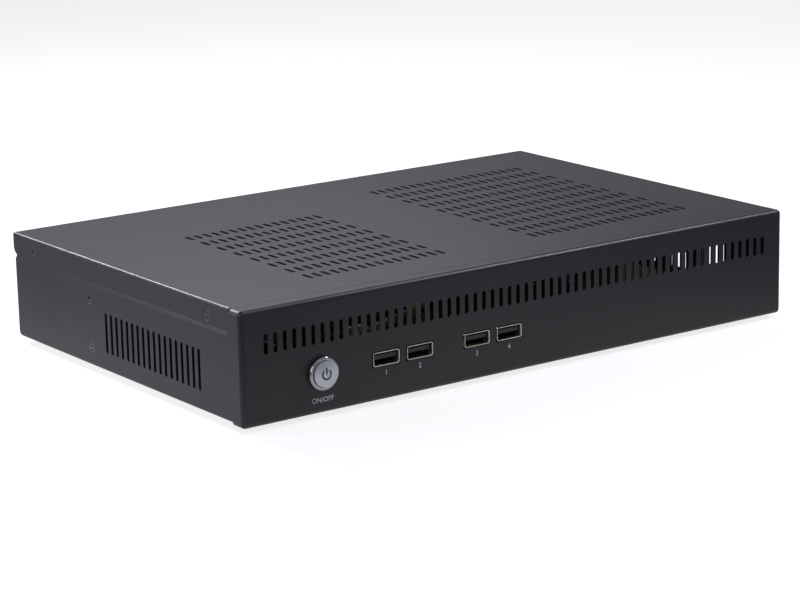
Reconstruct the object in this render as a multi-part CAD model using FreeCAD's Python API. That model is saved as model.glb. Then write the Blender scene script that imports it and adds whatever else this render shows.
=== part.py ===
"""Fanless industrial PC: folded steel chassis with its power button, USB sockets and electronics.

Frame while building: X to the right, Y to the rear, Z up. X = 0 is the middle of the width, Y = 0 the
outer face of the front bezel, Z = 0 the underside of the bezel. placed() moves the finished pieces so
that the origin is on the standing surface, midway between front and rear.
"""

import FreeCAD, Part

import math
import os

from FreeCAD import Vector

# ---------------------------------------------------------------- chassis, millimetres
WIDTH = 300.0                # front bezel, left to right
BEZEL_HEIGHT = 49.85         # front bezel, underside to top, flush with the cover
SHEET = 0.8                  # steel sheet of bezel, tray and cover
BEND_INSIDE = 0.4            # inside radius of every fold
SLIDE_GAP = 0.05             # between sheets that slip over each other
SEAM_GAP = 0.2               # open seam between bezel and cover
BEZEL_BEND_INSIDE = 1.2      # inside radius of the bezel's folds and drawn corners
BEZEL_RETURN = 8.0           # depth of the bezel's top and bottom
BEZEL_SIDE_RETURN = 9.8      # depth of its sides, which lap the cover
BEZEL_TONGUE = 11.0          # how far the bezel's top runs on under the cover
BEZEL_TONGUE_INSET = 4.0     # from the bezel's side to the tongue
BEZEL_JOGGLE = 1.6           # length of the step from the bezel's top down to the tongue
CORNER_RELIEF = 0.4          # open corner left beside a fold
COVER_FLANGE = 10.3          # height of the cover's folded sides
COVER_OVERHANG = 1.2         # cover beyond the tray's rear wall
COVER_CORNER_RADIUS = 4.0    # lower rear corner of the cover's sides
COVER_NOTCH_LENGTH = 1.2     # bend relief at the cover's front corners
COVER_NOTCH_WIDTH = 0.8
TRAY_SHOULDER_GAP = 0.1      # from the cover's side down to the tray's shoulder
TRAY_SHOULDER_HEIGHT = 0.9   # sloping step of the tray wall under the cover
TRAY_FRONT_FLANGE = 7.0      # upturned front edge of the tray
TRAY_REAR_RETURN = 9.0       # top of the rear wall, folded inwards
TRAY_CORNER_RADIUS = 3.0     # lower rear corner of the tray's sides

# ---------------------------------------------------------------- ventilation
SLOT_WIDTH = 2.0
FRONT_SLOT_MARGIN = 12.2     # from either side to the outermost slot
FRONT_SLOT_PITCH = 4.67
FRONT_SLOT_HEIGHT = 8.7
FRONT_SLOT_LEVEL = 34.5      # middle of the row
SIDE_SLOTS = 18
SIDE_SLOT_PITCH = 4.575
SIDE_SLOT_HEIGHT = 18.2
SIDE_SLOT_LEVEL = 18.5
SIDE_SLOT_START = 34.4       # first slot, from the front face
COVER_SLOT_PITCH = 4.67
COVER_SLOT_LENGTH = 9.7
COVER_ROW_PITCH = 13.77
COVER_FIELD_START = 34.2     # first row, from the front face
DRIVE_FIELD_COLUMNS = 16
DRIVE_FIELD_ROWS = 8
DRIVE_FIELD_LEFT = 56.1      # first column, from the left side
BOARD_FIELD_COLUMNS = 20
BOARD_FIELD_ROWS = 10
BOARD_FIELD_RIGHT = 33.3     # last column, from the right side

# ---------------------------------------------------------------- fasteners
M3_RADIUS = 1.5
M3_CLEARANCE_RADIUS = 1.65
M3_HEAD_RADIUS = 2.75
M3_HEAD_HEIGHT = 1.3
M3_HEAD_SINK = 0.15          # countersunk head below the surface
M3_LENGTH = 6.0
PAN_HEAD_HEIGHT = 1.6
COVER_SCREW_DROP = 6.1       # below the cover's top
COVER_SCREW_FRONT = 26.8     # from the front face
COVER_SCREW_REAR_MARGIN = 18.2
BRACKET_SCREW_INSET = 11.0   # side screws, from the drive's rear end
BRACKET_SCREW_LOW = 8.9
BRACKET_SCREW_DROP = 7.55    # upper screw, below the edge of the cover's side
BEZEL_SCREW_INSET = 30.0     # outer screws under the bezel, from the sides

# ---------------------------------------------------------------- feet
FOOT_RADIUS = 8.0
FOOT_HEIGHT = 3.0
FOOT_TAPER = 1.0
FOOT_INSET = 24.0

# ---------------------------------------------------------------- power button
BUTTON_FROM_LEFT = 39.4
BUTTON_LEVEL = 17.5
BUTTON_RIM = 1.3             # flange round the cap's recess
BUTTON_FLANGE_HEIGHT = 2.2
BUTTON_FLANGE_ROUNDING = 0.85
BUTTON_BODY_RADIUS = 6.0
BUTTON_BODY_LENGTH = 16.0
BUTTON_HOLE_GAP = 0.1
CAP_RADIUS = 5.7
CAP_SIDE_GAP = 0.3
CAP_HEIGHT = 1.1             # straight side of the cap
CAP_DOME = 0.6
CAP_PROUD = 0.8              # cap's shoulder in front of the flange at rest
CAP_STEM_RADIUS = 3.0
CAP_STEM_FIT = 0.05          # running fit of the stem in its bore
CAP_STEM_LENGTH = 9.0
CAP_TRAVEL = 1.2
CAP_STOP_GAP = 0.4           # left behind the pressed cap
SWITCH_LENGTH = 6.0
SWITCH_RADIUS = 5.4
TERMINAL_LENGTH = 4.0
TERMINAL_WIDTH = 1.2
TERMINAL_THICKNESS = 0.5
TERMINAL_SPREAD = 2.6
NUT_WALL = 1.5
NUT_THICKNESS = 2.5
PLUG_GAP = 0.5               # between the switch and the plug on its terminals
PLUG_LENGTH = 6.0
PLUG_WALL = 1.7

# ---------------------------------------------------------------- wires from the button
LEAD_RADIUS = 1.5
LEAD_BEHIND_BEZEL = 15.0
LEAD_START = (60.0, 24.2)    # where it shows above the USB sockets: from the left side, height
LEAD_CLIMB = (102.0, 32.8)   # where it leaves the row of front slots
LEAD_TOP = 38.5
TIE_REACH = 6.8              # from where the wires begin to climb
TIE_WIDTH = 2.5
TIE_THICKNESS = 0.9
TIE_TAIL = 9.0
TIE_HEAD_HEIGHT = 1.9
TIE_FIT = 0.03

# ---------------------------------------------------------------- front USB sockets
USB_FROM_LEFT = (72.0, 89.6, 120.1, 137.7)
USB_LEVEL = 18.2
USB_WIDTH = 13.1
USB_HEIGHT = 5.6
USB_LENGTH = 14.0
USB_METAL = 0.35
USB_PROUD = 0.3
USB_TONGUE_THICKNESS = 1.8
USB_TONGUE_WIDTH = 11.0
USB_TONGUE_SETBACK = 1.0
USB_TONGUE_DROP = 0.75       # from the shell's inside top to the tongue
USB_BLOCK = 4.0              # solid rear part of the insulator
USB_CUTOUT_GAP = 0.65
USB_BOARD_MARGIN = 5.0
USB_BOARD_BEHIND = 8.3       # board behind its sockets
USB_BOARD_SETBACK = 1.2
PILLAR_ACROSS_FLATS = 5.0
PILLAR_THREAD = 6.0
PILLAR_GRIP = 4.0            # screw in its pillar
USB_LEAD_RADIUS = 1.8
USB_LEAD_OUT = 6.0           # straight out of the small board
USB_LEAD_BACK = 11.0         # then along behind the boards
USB_LEAD_LANE = 4.0          # from one cable to the other
USB_LEAD_SIDE = 7.5
USB_LEAD_HANG = 6.0          # middle of the run, above the small boards
USB_LEAD_REACH = (14.0, 10.0)    # last bend, from the header and behind the boards

# ---------------------------------------------------------------- motherboard
BOARD_SIZE = 170.0
BOARD_THICKNESS = 1.6
BOARD_RIGHT_GAP = 12.0       # to the right side of the box
BOARD_FRONT_GAP = 1.5        # behind the small USB boards
BOARD_REAR_GAP = 0.5
STANDOFF_HEIGHT = 6.0
BOARD_HOLE_SIDE = 6.26
BOARD_HOLE_FRONT = 4.9
BOARD_HOLE_REAR = 10.16
HEADERS_BESIDE_USB = (10.75, 30.75)    # from the right end of the small USB boards
HEADER_FROM_EDGE = 3.5
HEADER_LENGTH = 10.0
HEADER_WIDTH = 5.0
HEADER_HEIGHT = 2.5
HEADER_PLUG_HEIGHT = 6.0
HEADER_PLUG_GROWTH = 0.4     # plug wider than its header on every side
HEADER_LEAD_RISE = 9.0       # cables above their plugs
SIDE_HEADER_ACROSS = 6.0
BUTTON_HEADER_DEEP = 86.5    # from the board's front edge
DRIVE_HEADER_FROM_REAR = 37.0
MEMORY_ACROSS = 112.0
MEMORY_DEEP = 61.5
MEMORY_LENGTH = 67.6
MEMORY_DEPTH = 30.0
MEMORY_BOARD = 1.0
MEMORY_INSERTION = 3.0
MEMORY_CHIPS = 4
MEMORY_CHIP_WIDTH = 9.0
MEMORY_CHIP_LENGTH = 13.0
MEMORY_CHIP_THICKNESS = 1.0
SOCKET_WIDTH = 7.0
SOCKET_HEIGHT = 5.2
SOCKET_ARM = 2.5
COIN_ACROSS = 87.0
COIN_DEEP = 19.0
COIN_RADIUS = 10.0
COIN_THICKNESS = 3.2
COIN_WALL = 1.0
CHOKES = 4
CHOKE_GAP = 2.0              # to the heatsink
CHOKE_SIZE = 7.0
CHOKE_HEIGHT = 5.0
CHOKE_PITCH = 9.0
CAPACITORS = 5
CAPACITOR_RADIUS = 3.2
CAPACITOR_HEIGHT = 8.0
CAPACITOR_PITCH = 9.0

# ---------------------------------------------------------------- processor and heatsink
PROCESSOR_SIZE = 37.5
PROCESSOR_THICKNESS = 1.3
DIE_SIZE = 14.0
DIE_THICKNESS = 0.8
PAD_THICKNESS = 0.5
HEATSINK_SIZE = 84.0
HEATSINK_BASE = 5.0
HEATSINK_HEIGHT = 27.0
FIN_COUNT = 15
FIN_THICKNESS = 1.4
HEATSINK_ACROSS = 64.0       # its middle, from the board's left edge
HEATSINK_DEEP = 76.5         # its middle, from the board's front edge
HEATSINK_SCREW_INSET = 6.0
BACKPLATE_THICKNESS = 1.5

# ---------------------------------------------------------------- drive
DRIVE_WIDTH = 69.85
DRIVE_LENGTH = 100.0
DRIVE_THICKNESS = 7.0
DRIVE_CORNER = 2.5
DRIVE_HOLE_SIDE = 4.0
DRIVE_HOLE_FRONT = 14.0      # front screws, from the drive's front
DRIVE_HOLE_REAR = 9.4        # rear screws, from its rear
DRIVE_THREAD = 2.5
DRIVE_BOARD_GAP = 6.15       # left of the motherboard
DRIVE_FROM_FRONT = 38.0
DRIVE_PLUG_WIDTH = 36.0
DRIVE_PLUG_LENGTH = 9.0
DRIVE_PLUG_HEIGHT = 5.0
DRIVE_LEAD_OUT = 9.0         # straight out of its plug
DRIVE_LEAD_BACK = 15.0       # then along behind the drive
DRIVE_LEAD_SIDE = (8.0, 22.0)
DRIVE_LEAD_LAST = (8.0, 2.0)     # last bend, from the header
BRACKET_SHEET = 1.0
BRACKET_LEVEL = 22.0         # top of the shelf
BRACKET_MARGIN = 1.5
BRACKET_TAB_WIDTH = 14.0
BRACKET_TAB_MARGIN = 5.0      # tab beyond its screws
BRACKET_FOOT = 8.0

# ---------------------------------------------------------------- rear connectors
PORT_PROUD = 0.6
SHIELD_SHEET = 0.4
SHIELD_LIP = 1.2             # inside the wall, round the opening
SHIELD_INSET = 6.0           # from either side of the board
SHIELD_HEIGHT = 25.0
SHIELD_DROP = 3.8            # shield's lower edge below the board's top
PORT_GAP = 0.3
PORT_END_MARGIN = 4.5        # from the shield's ends to the outermost connectors
JACK_SIZE = (9.0, 14.0, 11.0)
JACK_OPENING = 3.15
JACK_DEPTH = 10.0
JACK_PIN = 1.0
HDMI_SIZE = (15.0, 12.0, 6.0)
HDMI_CHAMFER = 1.6
HDMI_METAL = 0.4
HDMI_TONGUE = (12.0, 1.4)
VGA_DEPTH = 10.0
VGA_HEIGHT = 12.5
VGA_EAR = 3.0                # flange beyond the middle of each screw
VGA_FLANGE = 1.0
VGA_SHELL = (16.9, 8.3)      # outside width and height of the D
VGA_SLANT = 1.5
VGA_METAL = 0.5
VGA_PROUD = 5.0
VGA_SCREW_SPREAD = 12.5
VGA_SCREW_ACROSS_FLATS = 5.0
VGA_HOLE_PITCH = (2.3, 2.0)
VGA_HOLE_RADIUS = 0.5
LAN_SIZE = (16.0, 21.0, 13.5)
LAN_METAL = 0.4
LAN_OPENING = (11.8, 8.0)
LAN_DEPTH = 12.0
LAN_SILL = 2.6               # from the board to the opening
LAN_LATCH = (4.2, 1.6)
LAN_CONTACTS = 8
LAN_CONTACT_PITCH = 1.02
REAR_USB_DEPTH = 17.0
REAR_USB_PITCH = 8.2
AUDIO_SIZE = (7.0, 12.0, 9.0)
AUDIO_COLLAR = 3.0
AUDIO_BORE = 1.75
PLUGS_FROM_LEFT = (30.0, 66.0)
PLUG_LEVEL = 36.0
PLUG_RADIUS = 3.25
PLUG_HEAD_RADIUS = 4.4
PLUG_HEAD = 1.0

# ---------------------------------------------------------------- levels and sides worked out from the above
BEND_RADIUS = SHEET + BEND_INSIDE
FRONT_SLOTS = int((WIDTH - 2 * FRONT_SLOT_MARGIN) / FRONT_SLOT_PITCH) + 1
BEZEL_CORNER = SHEET + BEZEL_BEND_INSIDE
COVER_TOP = BEZEL_HEIGHT
COVER_UNDER = COVER_TOP - SHEET
COVER_FRONT = BEZEL_RETURN + SEAM_GAP
COVER_EDGE = COVER_TOP - COVER_FLANGE
TRAY_UNDER = SHEET + SLIDE_GAP
FLOOR = TRAY_UNDER + SHEET
TRAY_FRONT = SHEET + SLIDE_GAP
TRAY_SIDE = WIDTH / 2 - SHEET - SLIDE_GAP
TRAY_UPPER_SIDE = TRAY_SIDE - SHEET - SLIDE_GAP
TRAY_WALL_TOP = COVER_UNDER - BEND_RADIUS
SHOULDER = COVER_EDGE - TRAY_SHOULDER_GAP
BUTTON_X = BUTTON_FROM_LEFT - WIDTH / 2
USB_X = [from_left - WIDTH / 2 for from_left in USB_FROM_LEFT]
USB_BOARD_TOP = USB_LEVEL - USB_HEIGHT / 2
USB_BOARD_UNDER = USB_BOARD_TOP - BOARD_THICKNESS
USB_BOARD_REAR = USB_LENGTH - USB_PROUD + USB_BOARD_BEHIND
BOARD_UNDER = FLOOR + STANDOFF_HEIGHT
BOARD_TOP = BOARD_UNDER + BOARD_THICKNESS
BOARD_LEFT = WIDTH / 2 - BOARD_RIGHT_GAP - BOARD_SIZE
BOARD_FRONT = USB_BOARD_REAR + BOARD_FRONT_GAP
BOARD_REAR = BOARD_FRONT + BOARD_SIZE
PLUG_TOP = BOARD_TOP + HEADER_HEIGHT + HEADER_PLUG_HEIGHT
TRAY_REAR = BOARD_REAR + BOARD_REAR_GAP + SHEET
DEPTH = TRAY_REAR + COVER_OVERHANG
DRIVE_LEFT = BOARD_LEFT - DRIVE_BOARD_GAP - DRIVE_WIDTH
BRACKET_SCREW_REACH = DRIVE_FROM_FRONT + DRIVE_LENGTH - BRACKET_SCREW_INSET
PORT_REAR = TRAY_REAR + PORT_PROUD
SHIELD_LEFT = BOARD_LEFT + SHIELD_INSET
SHIELD_WIDTH = BOARD_SIZE - 2 * SHIELD_INSET
SHIELD_LOW = BOARD_TOP - SHIELD_DROP
SHIELD_INSIDE = TRAY_REAR - SHIELD_SHEET
VGA_SIZE = (2 * (VGA_SCREW_SPREAD + VGA_EAR), VGA_DEPTH, VGA_HEIGHT)
VGA_REAR = TRAY_REAR + VGA_PROUD
CAP_REST = -BUTTON_FLANGE_HEIGHT - CAP_PROUD
CAP_FRONT = CAP_REST - CAP_DOME
BUTTON_RECESS_RADIUS = CAP_RADIUS + CAP_SIDE_GAP
BUTTON_RECESS_BACK = CAP_REST + CAP_HEIGHT + CAP_TRAVEL + CAP_STOP_GAP
STAND = FOOT_HEIGHT - TRAY_UNDER
MIDDLE = (max(DEPTH, VGA_REAR) + CAP_FRONT) / 2


# ================================================================ building blocks
def box(low, high):
    """Box between two corners given as (x, y, z)."""
    size = [high[i] - low[i] for i in range(3)]
    return Part.makeBox(*size, Vector(*low))


def cylinder(radius, start, direction, length):
    return Part.makeCylinder(radius, length, Vector(*start), Vector(*direction))


def fused(shapes):
    shapes = list(shapes)
    return shapes[0].multiFuse(shapes[1:]).removeSplitter() if len(shapes) > 1 else shapes[0]


def on_plane(plane, u, v, at=0.0):
    """Point at (u, v) on the XZ, YZ or XY plane, at the given height above it."""
    return {"XZ": Vector(u, at, v), "YZ": Vector(at, u, v), "XY": Vector(u, v, at)}[plane]


def along(plane, length):
    return {"XZ": Vector(0, length, 0), "YZ": Vector(length, 0, 0), "XY": Vector(0, 0, length)}[plane]


def rounded_line(points, radii):
    """Edges through the points, with a tangent arc of the given radius at each inner point."""
    edges = []
    last = points[0]
    for before, corner, after, radius in zip(points, points[1:], points[2:], radii):
        arrive = (corner - before).normalize()
        leave = (after - corner).normalize()
        turn = arrive.getAngle(leave)
        if radius < 1e-6 or turn < 1e-6:
            edges.append(Part.LineSegment(last, corner).toShape())
            last = corner
            continue
        reach = radius * math.tan(turn / 2)
        first, second = corner - arrive * reach, corner + leave * reach
        inward = (leave - arrive).normalize()
        middle = corner + inward * (radius / math.cos(turn / 2) - radius)
        if (first - last).Length > 1e-6:
            edges.append(Part.LineSegment(last, first).toShape())
        edges.append(Part.Arc(first, middle, second).toShape())
        last = second
    edges.append(Part.LineSegment(last, points[-1]).toShape())
    return edges


def folded_sheet(plane, points, thickness, start, length):
    """Sheet folded along its outside line, with the metal to the left of the line."""
    line = [Vector(u, v, 0) for u, v in points]
    steps = [(b - a).normalize() for a, b in zip(line, line[1:])]
    left = [Vector(-step.y, step.x, 0) for step in steps]
    inner = [line[0] + left[0] * thickness]
    outer_radii, inner_radii = [], []
    for corner, a, b, step, following in zip(line[1:-1], left, left[1:], steps, steps[1:]):
        inner.append(corner + (a + b) * (thickness / (1 + a.dot(b))))
        turns_left = step.cross(following).z > 0
        outer_radii.append(BEND_INSIDE + thickness if turns_left else BEND_INSIDE)
        inner_radii.append(BEND_INSIDE if turns_left else BEND_INSIDE + thickness)
    inner.append(line[-1] + left[-1] * thickness)
    lift = [[on_plane(plane, p.x, p.y, start) for p in path] for path in (line, inner)]
    there = rounded_line(lift[0], outer_radii)
    back = rounded_line(lift[1], inner_radii)
    ends = [Part.LineSegment(lift[0][i], lift[1][i]).toShape() for i in (0, -1)]
    wire = Part.Wire(Part.__sortEdges__(there + back + ends))
    return Part.Face(wire).extrude(along(plane, length))


def slot(plane, u, v, width, height, start, length):
    """Punch tool for one upright slot with round ends, centred at (u, v)."""
    radius, run = width / 2, (height - width) / 2

    def point(across, up):
        return on_plane(plane, u + across, v + up, start)

    edges = [
        Part.LineSegment(point(-radius, -run), point(-radius, run)).toShape(),
        Part.Arc(point(-radius, run), point(0, run + radius), point(radius, run)).toShape(),
        Part.LineSegment(point(radius, run), point(radius, -run)).toShape(),
        Part.Arc(point(radius, -run), point(0, -run - radius), point(-radius, -run)).toShape(),
    ]
    return Part.Face(Part.Wire(edges)).extrude(along(plane, length))


def prism(plane, points, start, length):
    line = [on_plane(plane, u, v, start) for u, v in points]
    return Part.Face(Part.makePolygon(line + line[:1])).extrude(along(plane, length))


def hexagon(across_flats, start, direction, length):
    """Hexagonal prism along +Y or +Z, as nuts and pillars are."""
    radius = across_flats / math.sqrt(3)
    turns = [math.radians(60 * i) for i in range(6)]
    ring = [(radius * math.cos(turn), radius * math.sin(turn)) for turn in turns]
    plane, (u, v, at) = ("XZ", (start[0], start[2], start[1])) if direction == "y" else ("XY", start)
    return prism(plane, [(u + a, v + b) for a, b in ring], at, length)


def cable(points, radius):
    """Round cable through the points, every corner as wide as its runs allow."""
    path = [Vector(*p) for p in points]
    radii = []
    for a, b, c in zip(path, path[1:], path[2:]):
        turn = (b - a).getAngle(c - b)
        radii.append(0.45 * min((b - a).Length, (c - b).Length) / math.tan(turn / 2))
    print("cable of radius", radius, "bends at", [round(bend, 1) for bend in radii])
    spine = Part.Wire(rounded_line(path, radii))
    ring = Part.Wire(Part.makeCircle(radius, path[0], path[1] - path[0]))
    return spine.makePipeShell([ring], True, True)


def countersunk_screw(start, direction, length=M3_LENGTH):
    """Screw whose flat head's face is at start and whose shank runs along the direction."""
    aim = Vector(*direction)
    top = Vector(*start)
    head = Part.makeCone(M3_HEAD_RADIUS, M3_RADIUS, M3_HEAD_HEIGHT, top, aim)
    shank = Part.makeCylinder(M3_RADIUS, length - M3_HEAD_HEIGHT, top + aim * M3_HEAD_HEIGHT, aim)
    return head.fuse(shank)


def countersink(start, direction, depth):
    """Hole for a countersunk screw in a wall of the given depth, opening at start."""
    aim, top = Vector(*direction), Vector(*start)
    reach = M3_HEAD_HEIGHT + M3_HEAD_SINK
    cone = Part.makeCone(M3_HEAD_RADIUS + M3_HEAD_SINK, M3_RADIUS, reach, top, aim)
    return cone.fuse(Part.makeCylinder(M3_RADIUS, depth, top, aim))


def pan_screw(start, direction, grip, radius=M3_RADIUS):
    """Screw whose head stands on start and whose shank runs on for the grip length."""
    aim, seat = Vector(*direction), Vector(*start)
    head = Part.makeCylinder(M3_HEAD_RADIUS, PAN_HEAD_HEIGHT, seat - aim * PAN_HEAD_HEIGHT, aim)
    return head.fuse(Part.makeCylinder(radius, grip, seat, aim))


def mirrored(shape):
    return shape.mirror(Vector(0, 0, 0), Vector(1, 0, 0))


# ================================================================ chassis
def side_slots():
    places = [(SIDE_SLOT_START + i * SIDE_SLOT_PITCH, SIDE_SLOT_LEVEL) for i in range(SIDE_SLOTS)]
    left = [slot("YZ", *place, SLOT_WIDTH, SIDE_SLOT_HEIGHT, -WIDTH / 2, 3) for place in places]
    return left + [mirrored(tool) for tool in left]


def cover_screw_places():
    level, rear = COVER_TOP - COVER_SCREW_DROP, DEPTH - COVER_SCREW_REAR_MARGIN
    return [(side, y, level) for side in (-1, 1) for y in (COVER_SCREW_FRONT, rear)]


def bracket_screw_places():
    levels = (BRACKET_SCREW_LOW, COVER_EDGE - BRACKET_SCREW_DROP)
    return [(-1, BRACKET_SCREW_REACH, level) for level in levels]


def bezel_screw_places():
    outer = WIDTH / 2 - BEZEL_SCREW_INSET
    return [(x, (COVER_FRONT + TRAY_FRONT) / 2) for x in (-outer, 0.0, outer)]


def rounded_pan(half, front, rear, low, high, radius):
    """Block open to the rear whose front edges and lengthways edges are rounded."""
    block = box((-half, front, low), (half, rear, high))
    rounded = [edge for edge in block.Edges if edge.BoundBox.YMin < rear - 1e-3]
    return block.makeFillet(radius, rounded)


def front_bezel():
    """Drawn pan with rounded corners whose top runs on as a joggled tongue under the cover."""
    half = WIDTH / 2
    outer = rounded_pan(half, 0, BEZEL_SIDE_RETURN, 0, BEZEL_HEIGHT, BEZEL_CORNER)
    inner = rounded_pan(half - SHEET, SHEET, BEZEL_SIDE_RETURN + 1, SHEET, COVER_UNDER, BEZEL_BEND_INSIDE)
    over = (half + 1, BEZEL_SIDE_RETURN + 1)
    shortened = [
        box((-half - 1, BEZEL_RETURN, BEZEL_HEIGHT - BEZEL_CORNER), (*over, BEZEL_HEIGHT + 1)),
        box((-half - 1, BEZEL_RETURN, -1), (*over, BEZEL_CORNER)),
    ]
    tongue_half = half - BEZEL_TONGUE_INSET
    tongue_top = COVER_UNDER - SLIDE_GAP
    shell = fused([
        outer.cut(Part.makeCompound([inner] + shortened)),
        box((-tongue_half, BEZEL_RETURN - BEZEL_JOGGLE, tongue_top - SHEET),
            (tongue_half, BEZEL_RETURN, COVER_UNDER + SHEET / 2)),
        box((-tongue_half, BEZEL_RETURN, tongue_top - SHEET),
            (tongue_half, BEZEL_RETURN + BEZEL_TONGUE, tongue_top)),
    ])
    first = -FRONT_SLOT_PITCH * (FRONT_SLOTS - 1) / 2
    tools = [
        slot("XZ", first + i * FRONT_SLOT_PITCH, FRONT_SLOT_LEVEL, SLOT_WIDTH, FRONT_SLOT_HEIGHT, -1, 3)
        for i in range(FRONT_SLOTS)
    ]
    button_hole = BUTTON_BODY_RADIUS + BUTTON_HOLE_GAP
    tools.append(cylinder(button_hole, (BUTTON_X, -1, BUTTON_LEVEL), (0, 1, 0), 3))
    half_w, half_h = USB_WIDTH / 2 + USB_CUTOUT_GAP, USB_HEIGHT / 2 + USB_CUTOUT_GAP
    for x in USB_X:
        tools.append(box((x - half_w, -1, USB_LEVEL - half_h), (x + half_w, 3, USB_LEVEL + half_h)))
    for x, y in bezel_screw_places():
        tools.append(countersink((x, y, 0), (0, 0, 1), 2 * SHEET))
    return shell.cut(Part.makeCompound(tools))


def base_tray():
    """Floor with joggled sides, and a front lip, rear wall and top return folded from the same floor."""
    left_side = [
        (-TRAY_UPPER_SIDE, TRAY_WALL_TOP),
        (-TRAY_UPPER_SIDE, SHOULDER),
        (-TRAY_SIDE, SHOULDER - TRAY_SHOULDER_HEIGHT),
        (-TRAY_SIDE, TRAY_UNDER),
    ]
    across = left_side + [(-u, v) for u, v in reversed(left_side)]
    rear_top = COVER_UNDER - SLIDE_GAP
    lengthways = [
        (TRAY_FRONT, TRAY_UNDER + TRAY_FRONT_FLANGE),
        (TRAY_FRONT, TRAY_UNDER),
        (TRAY_REAR, TRAY_UNDER),
        (TRAY_REAR, rear_top),
        (TRAY_REAR - TRAY_REAR_RETURN, rear_top),
    ]
    relief = BEND_RADIUS + CORNER_RELIEF
    half = TRAY_UPPER_SIDE - SHEET - SLIDE_GAP
    rounded = TRAY_CORNER_RADIUS
    bend_centre = (-WIDTH, TRAY_REAR - rounded, TRAY_UNDER + rounded)
    corner = box((-WIDTH, TRAY_REAR - rounded, 0), (WIDTH, TRAY_REAR + 1, TRAY_UNDER + rounded))
    ends = [
        box((-WIDTH, TRAY_FRONT - 1, 0), (WIDTH, TRAY_FRONT + relief, TRAY_UNDER + relief)),
        box((-half, TRAY_REAR - relief, 0), (half, TRAY_REAR + 1, TRAY_UNDER + relief)),
        corner.cut(cylinder(rounded, bend_centre, (1, 0, 0), 2 * WIDTH)),
    ]
    front = BEZEL_CORNER
    sides = folded_sheet("XZ", across, SHEET, front, TRAY_REAR - front).cut(Part.makeCompound(ends))
    tray = fused([sides, folded_sheet("YZ", lengthways, SHEET, -half, 2 * half)])
    tools = side_slots()
    for side, y, z in cover_screw_places() + bracket_screw_places():
        tools.append(countersink((side * TRAY_SIDE, y, z), (-side, 0, 0), 2 * SHEET + 1))
    for x, y in bezel_screw_places():
        tools.append(countersink((x, y, 0), (0, 0, 1), 2 * FLOOR))
    tools += [cylinder(M3_RADIUS, (x, y, 0), (0, 0, 1), FLOOR + 1) for x, y in bracket_foot_places()]
    left, right, low, high = shield_box()
    tools.append(box((left, TRAY_REAR - 2, low), (right, TRAY_REAR + 1, high)))
    for x, z in plug_places():
        tools.append(cylinder(PLUG_RADIUS, (x, TRAY_REAR - 2, z), (0, 1, 0), 4))
    return tray.cut(Part.makeCompound(tools))


def cover_slots():
    """Two fields of slots in rows and columns, one over the drive and one over the motherboard."""
    board_width = (BOARD_FIELD_COLUMNS - 1) * COVER_SLOT_PITCH
    fields = (
        (DRIVE_FIELD_LEFT - WIDTH / 2, DRIVE_FIELD_COLUMNS, DRIVE_FIELD_ROWS),
        (WIDTH / 2 - BOARD_FIELD_RIGHT - board_width, BOARD_FIELD_COLUMNS, BOARD_FIELD_ROWS),
    )
    tools = []
    for left, columns, rows in fields:
        places = [(left + i * COVER_SLOT_PITCH, COVER_FIELD_START + j * COVER_ROW_PITCH)
                  for i in range(columns) for j in range(rows)]
        for x, y in places:
            tools.append(slot("XY", x, y, SLOT_WIDTH, COVER_SLOT_LENGTH, COVER_UNDER - 1, SHEET + 2))
    return tools


def top_cover():
    side = TRAY_SIDE
    across = [(side, COVER_EDGE), (side, COVER_TOP), (-side, COVER_TOP), (-side, COVER_EDGE)]
    shell = folded_sheet("XZ", across, SHEET, COVER_FRONT, DEPTH - COVER_FRONT)
    tools = cover_slots()
    notch_rear, notch_low = COVER_FRONT + COVER_NOTCH_LENGTH, COVER_UNDER - BEND_RADIUS
    for low, high in ((-WIDTH, COVER_NOTCH_WIDTH - side), (side - COVER_NOTCH_WIDTH, WIDTH)):
        tools.append(box((low, 0, notch_low), (high, notch_rear, COVER_TOP + 1)))
    rounded = COVER_CORNER_RADIUS
    bend_centre = (-WIDTH, DEPTH - rounded, COVER_EDGE + rounded)
    corner = box((-WIDTH, DEPTH - rounded, COVER_EDGE - 1), (WIDTH, DEPTH + 1, COVER_EDGE + rounded))
    tools.append(corner.cut(cylinder(rounded, bend_centre, (1, 0, 0), 2 * WIDTH)))
    for side, y, z in cover_screw_places():
        tools.append(countersink((side * TRAY_SIDE, y, z), (-side, 0, 0), 2 * SHEET))
    return shell.cut(Part.makeCompound(tools))


def cover_screws():
    sunk = TRAY_SIDE - M3_HEAD_SINK
    return [countersunk_screw((side * sunk, y, z), (-side, 0, 0)) for side, y, z in cover_screw_places()]


def side_screws():
    sunk = TRAY_SIDE - M3_HEAD_SINK
    return [countersunk_screw((side * sunk, y, z), (-side, 0, 0)) for side, y, z in bracket_screw_places()]


def bezel_screws():
    return [countersunk_screw((x, y, M3_HEAD_SINK), (0, 0, 1)) for x, y in bezel_screw_places()]


def rubber_feet():
    feet = []
    for side in (-1, 1):
        for y in (TRAY_FRONT + FOOT_INSET, TRAY_REAR - FOOT_INSET):
            top = Vector(side * (TRAY_SIDE - FOOT_INSET), y, TRAY_UNDER)
            narrow = FOOT_RADIUS - FOOT_TAPER
            feet.append(Part.makeCone(FOOT_RADIUS, narrow, FOOT_HEIGHT, top, Vector(0, 0, -1)))
    return feet


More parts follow.
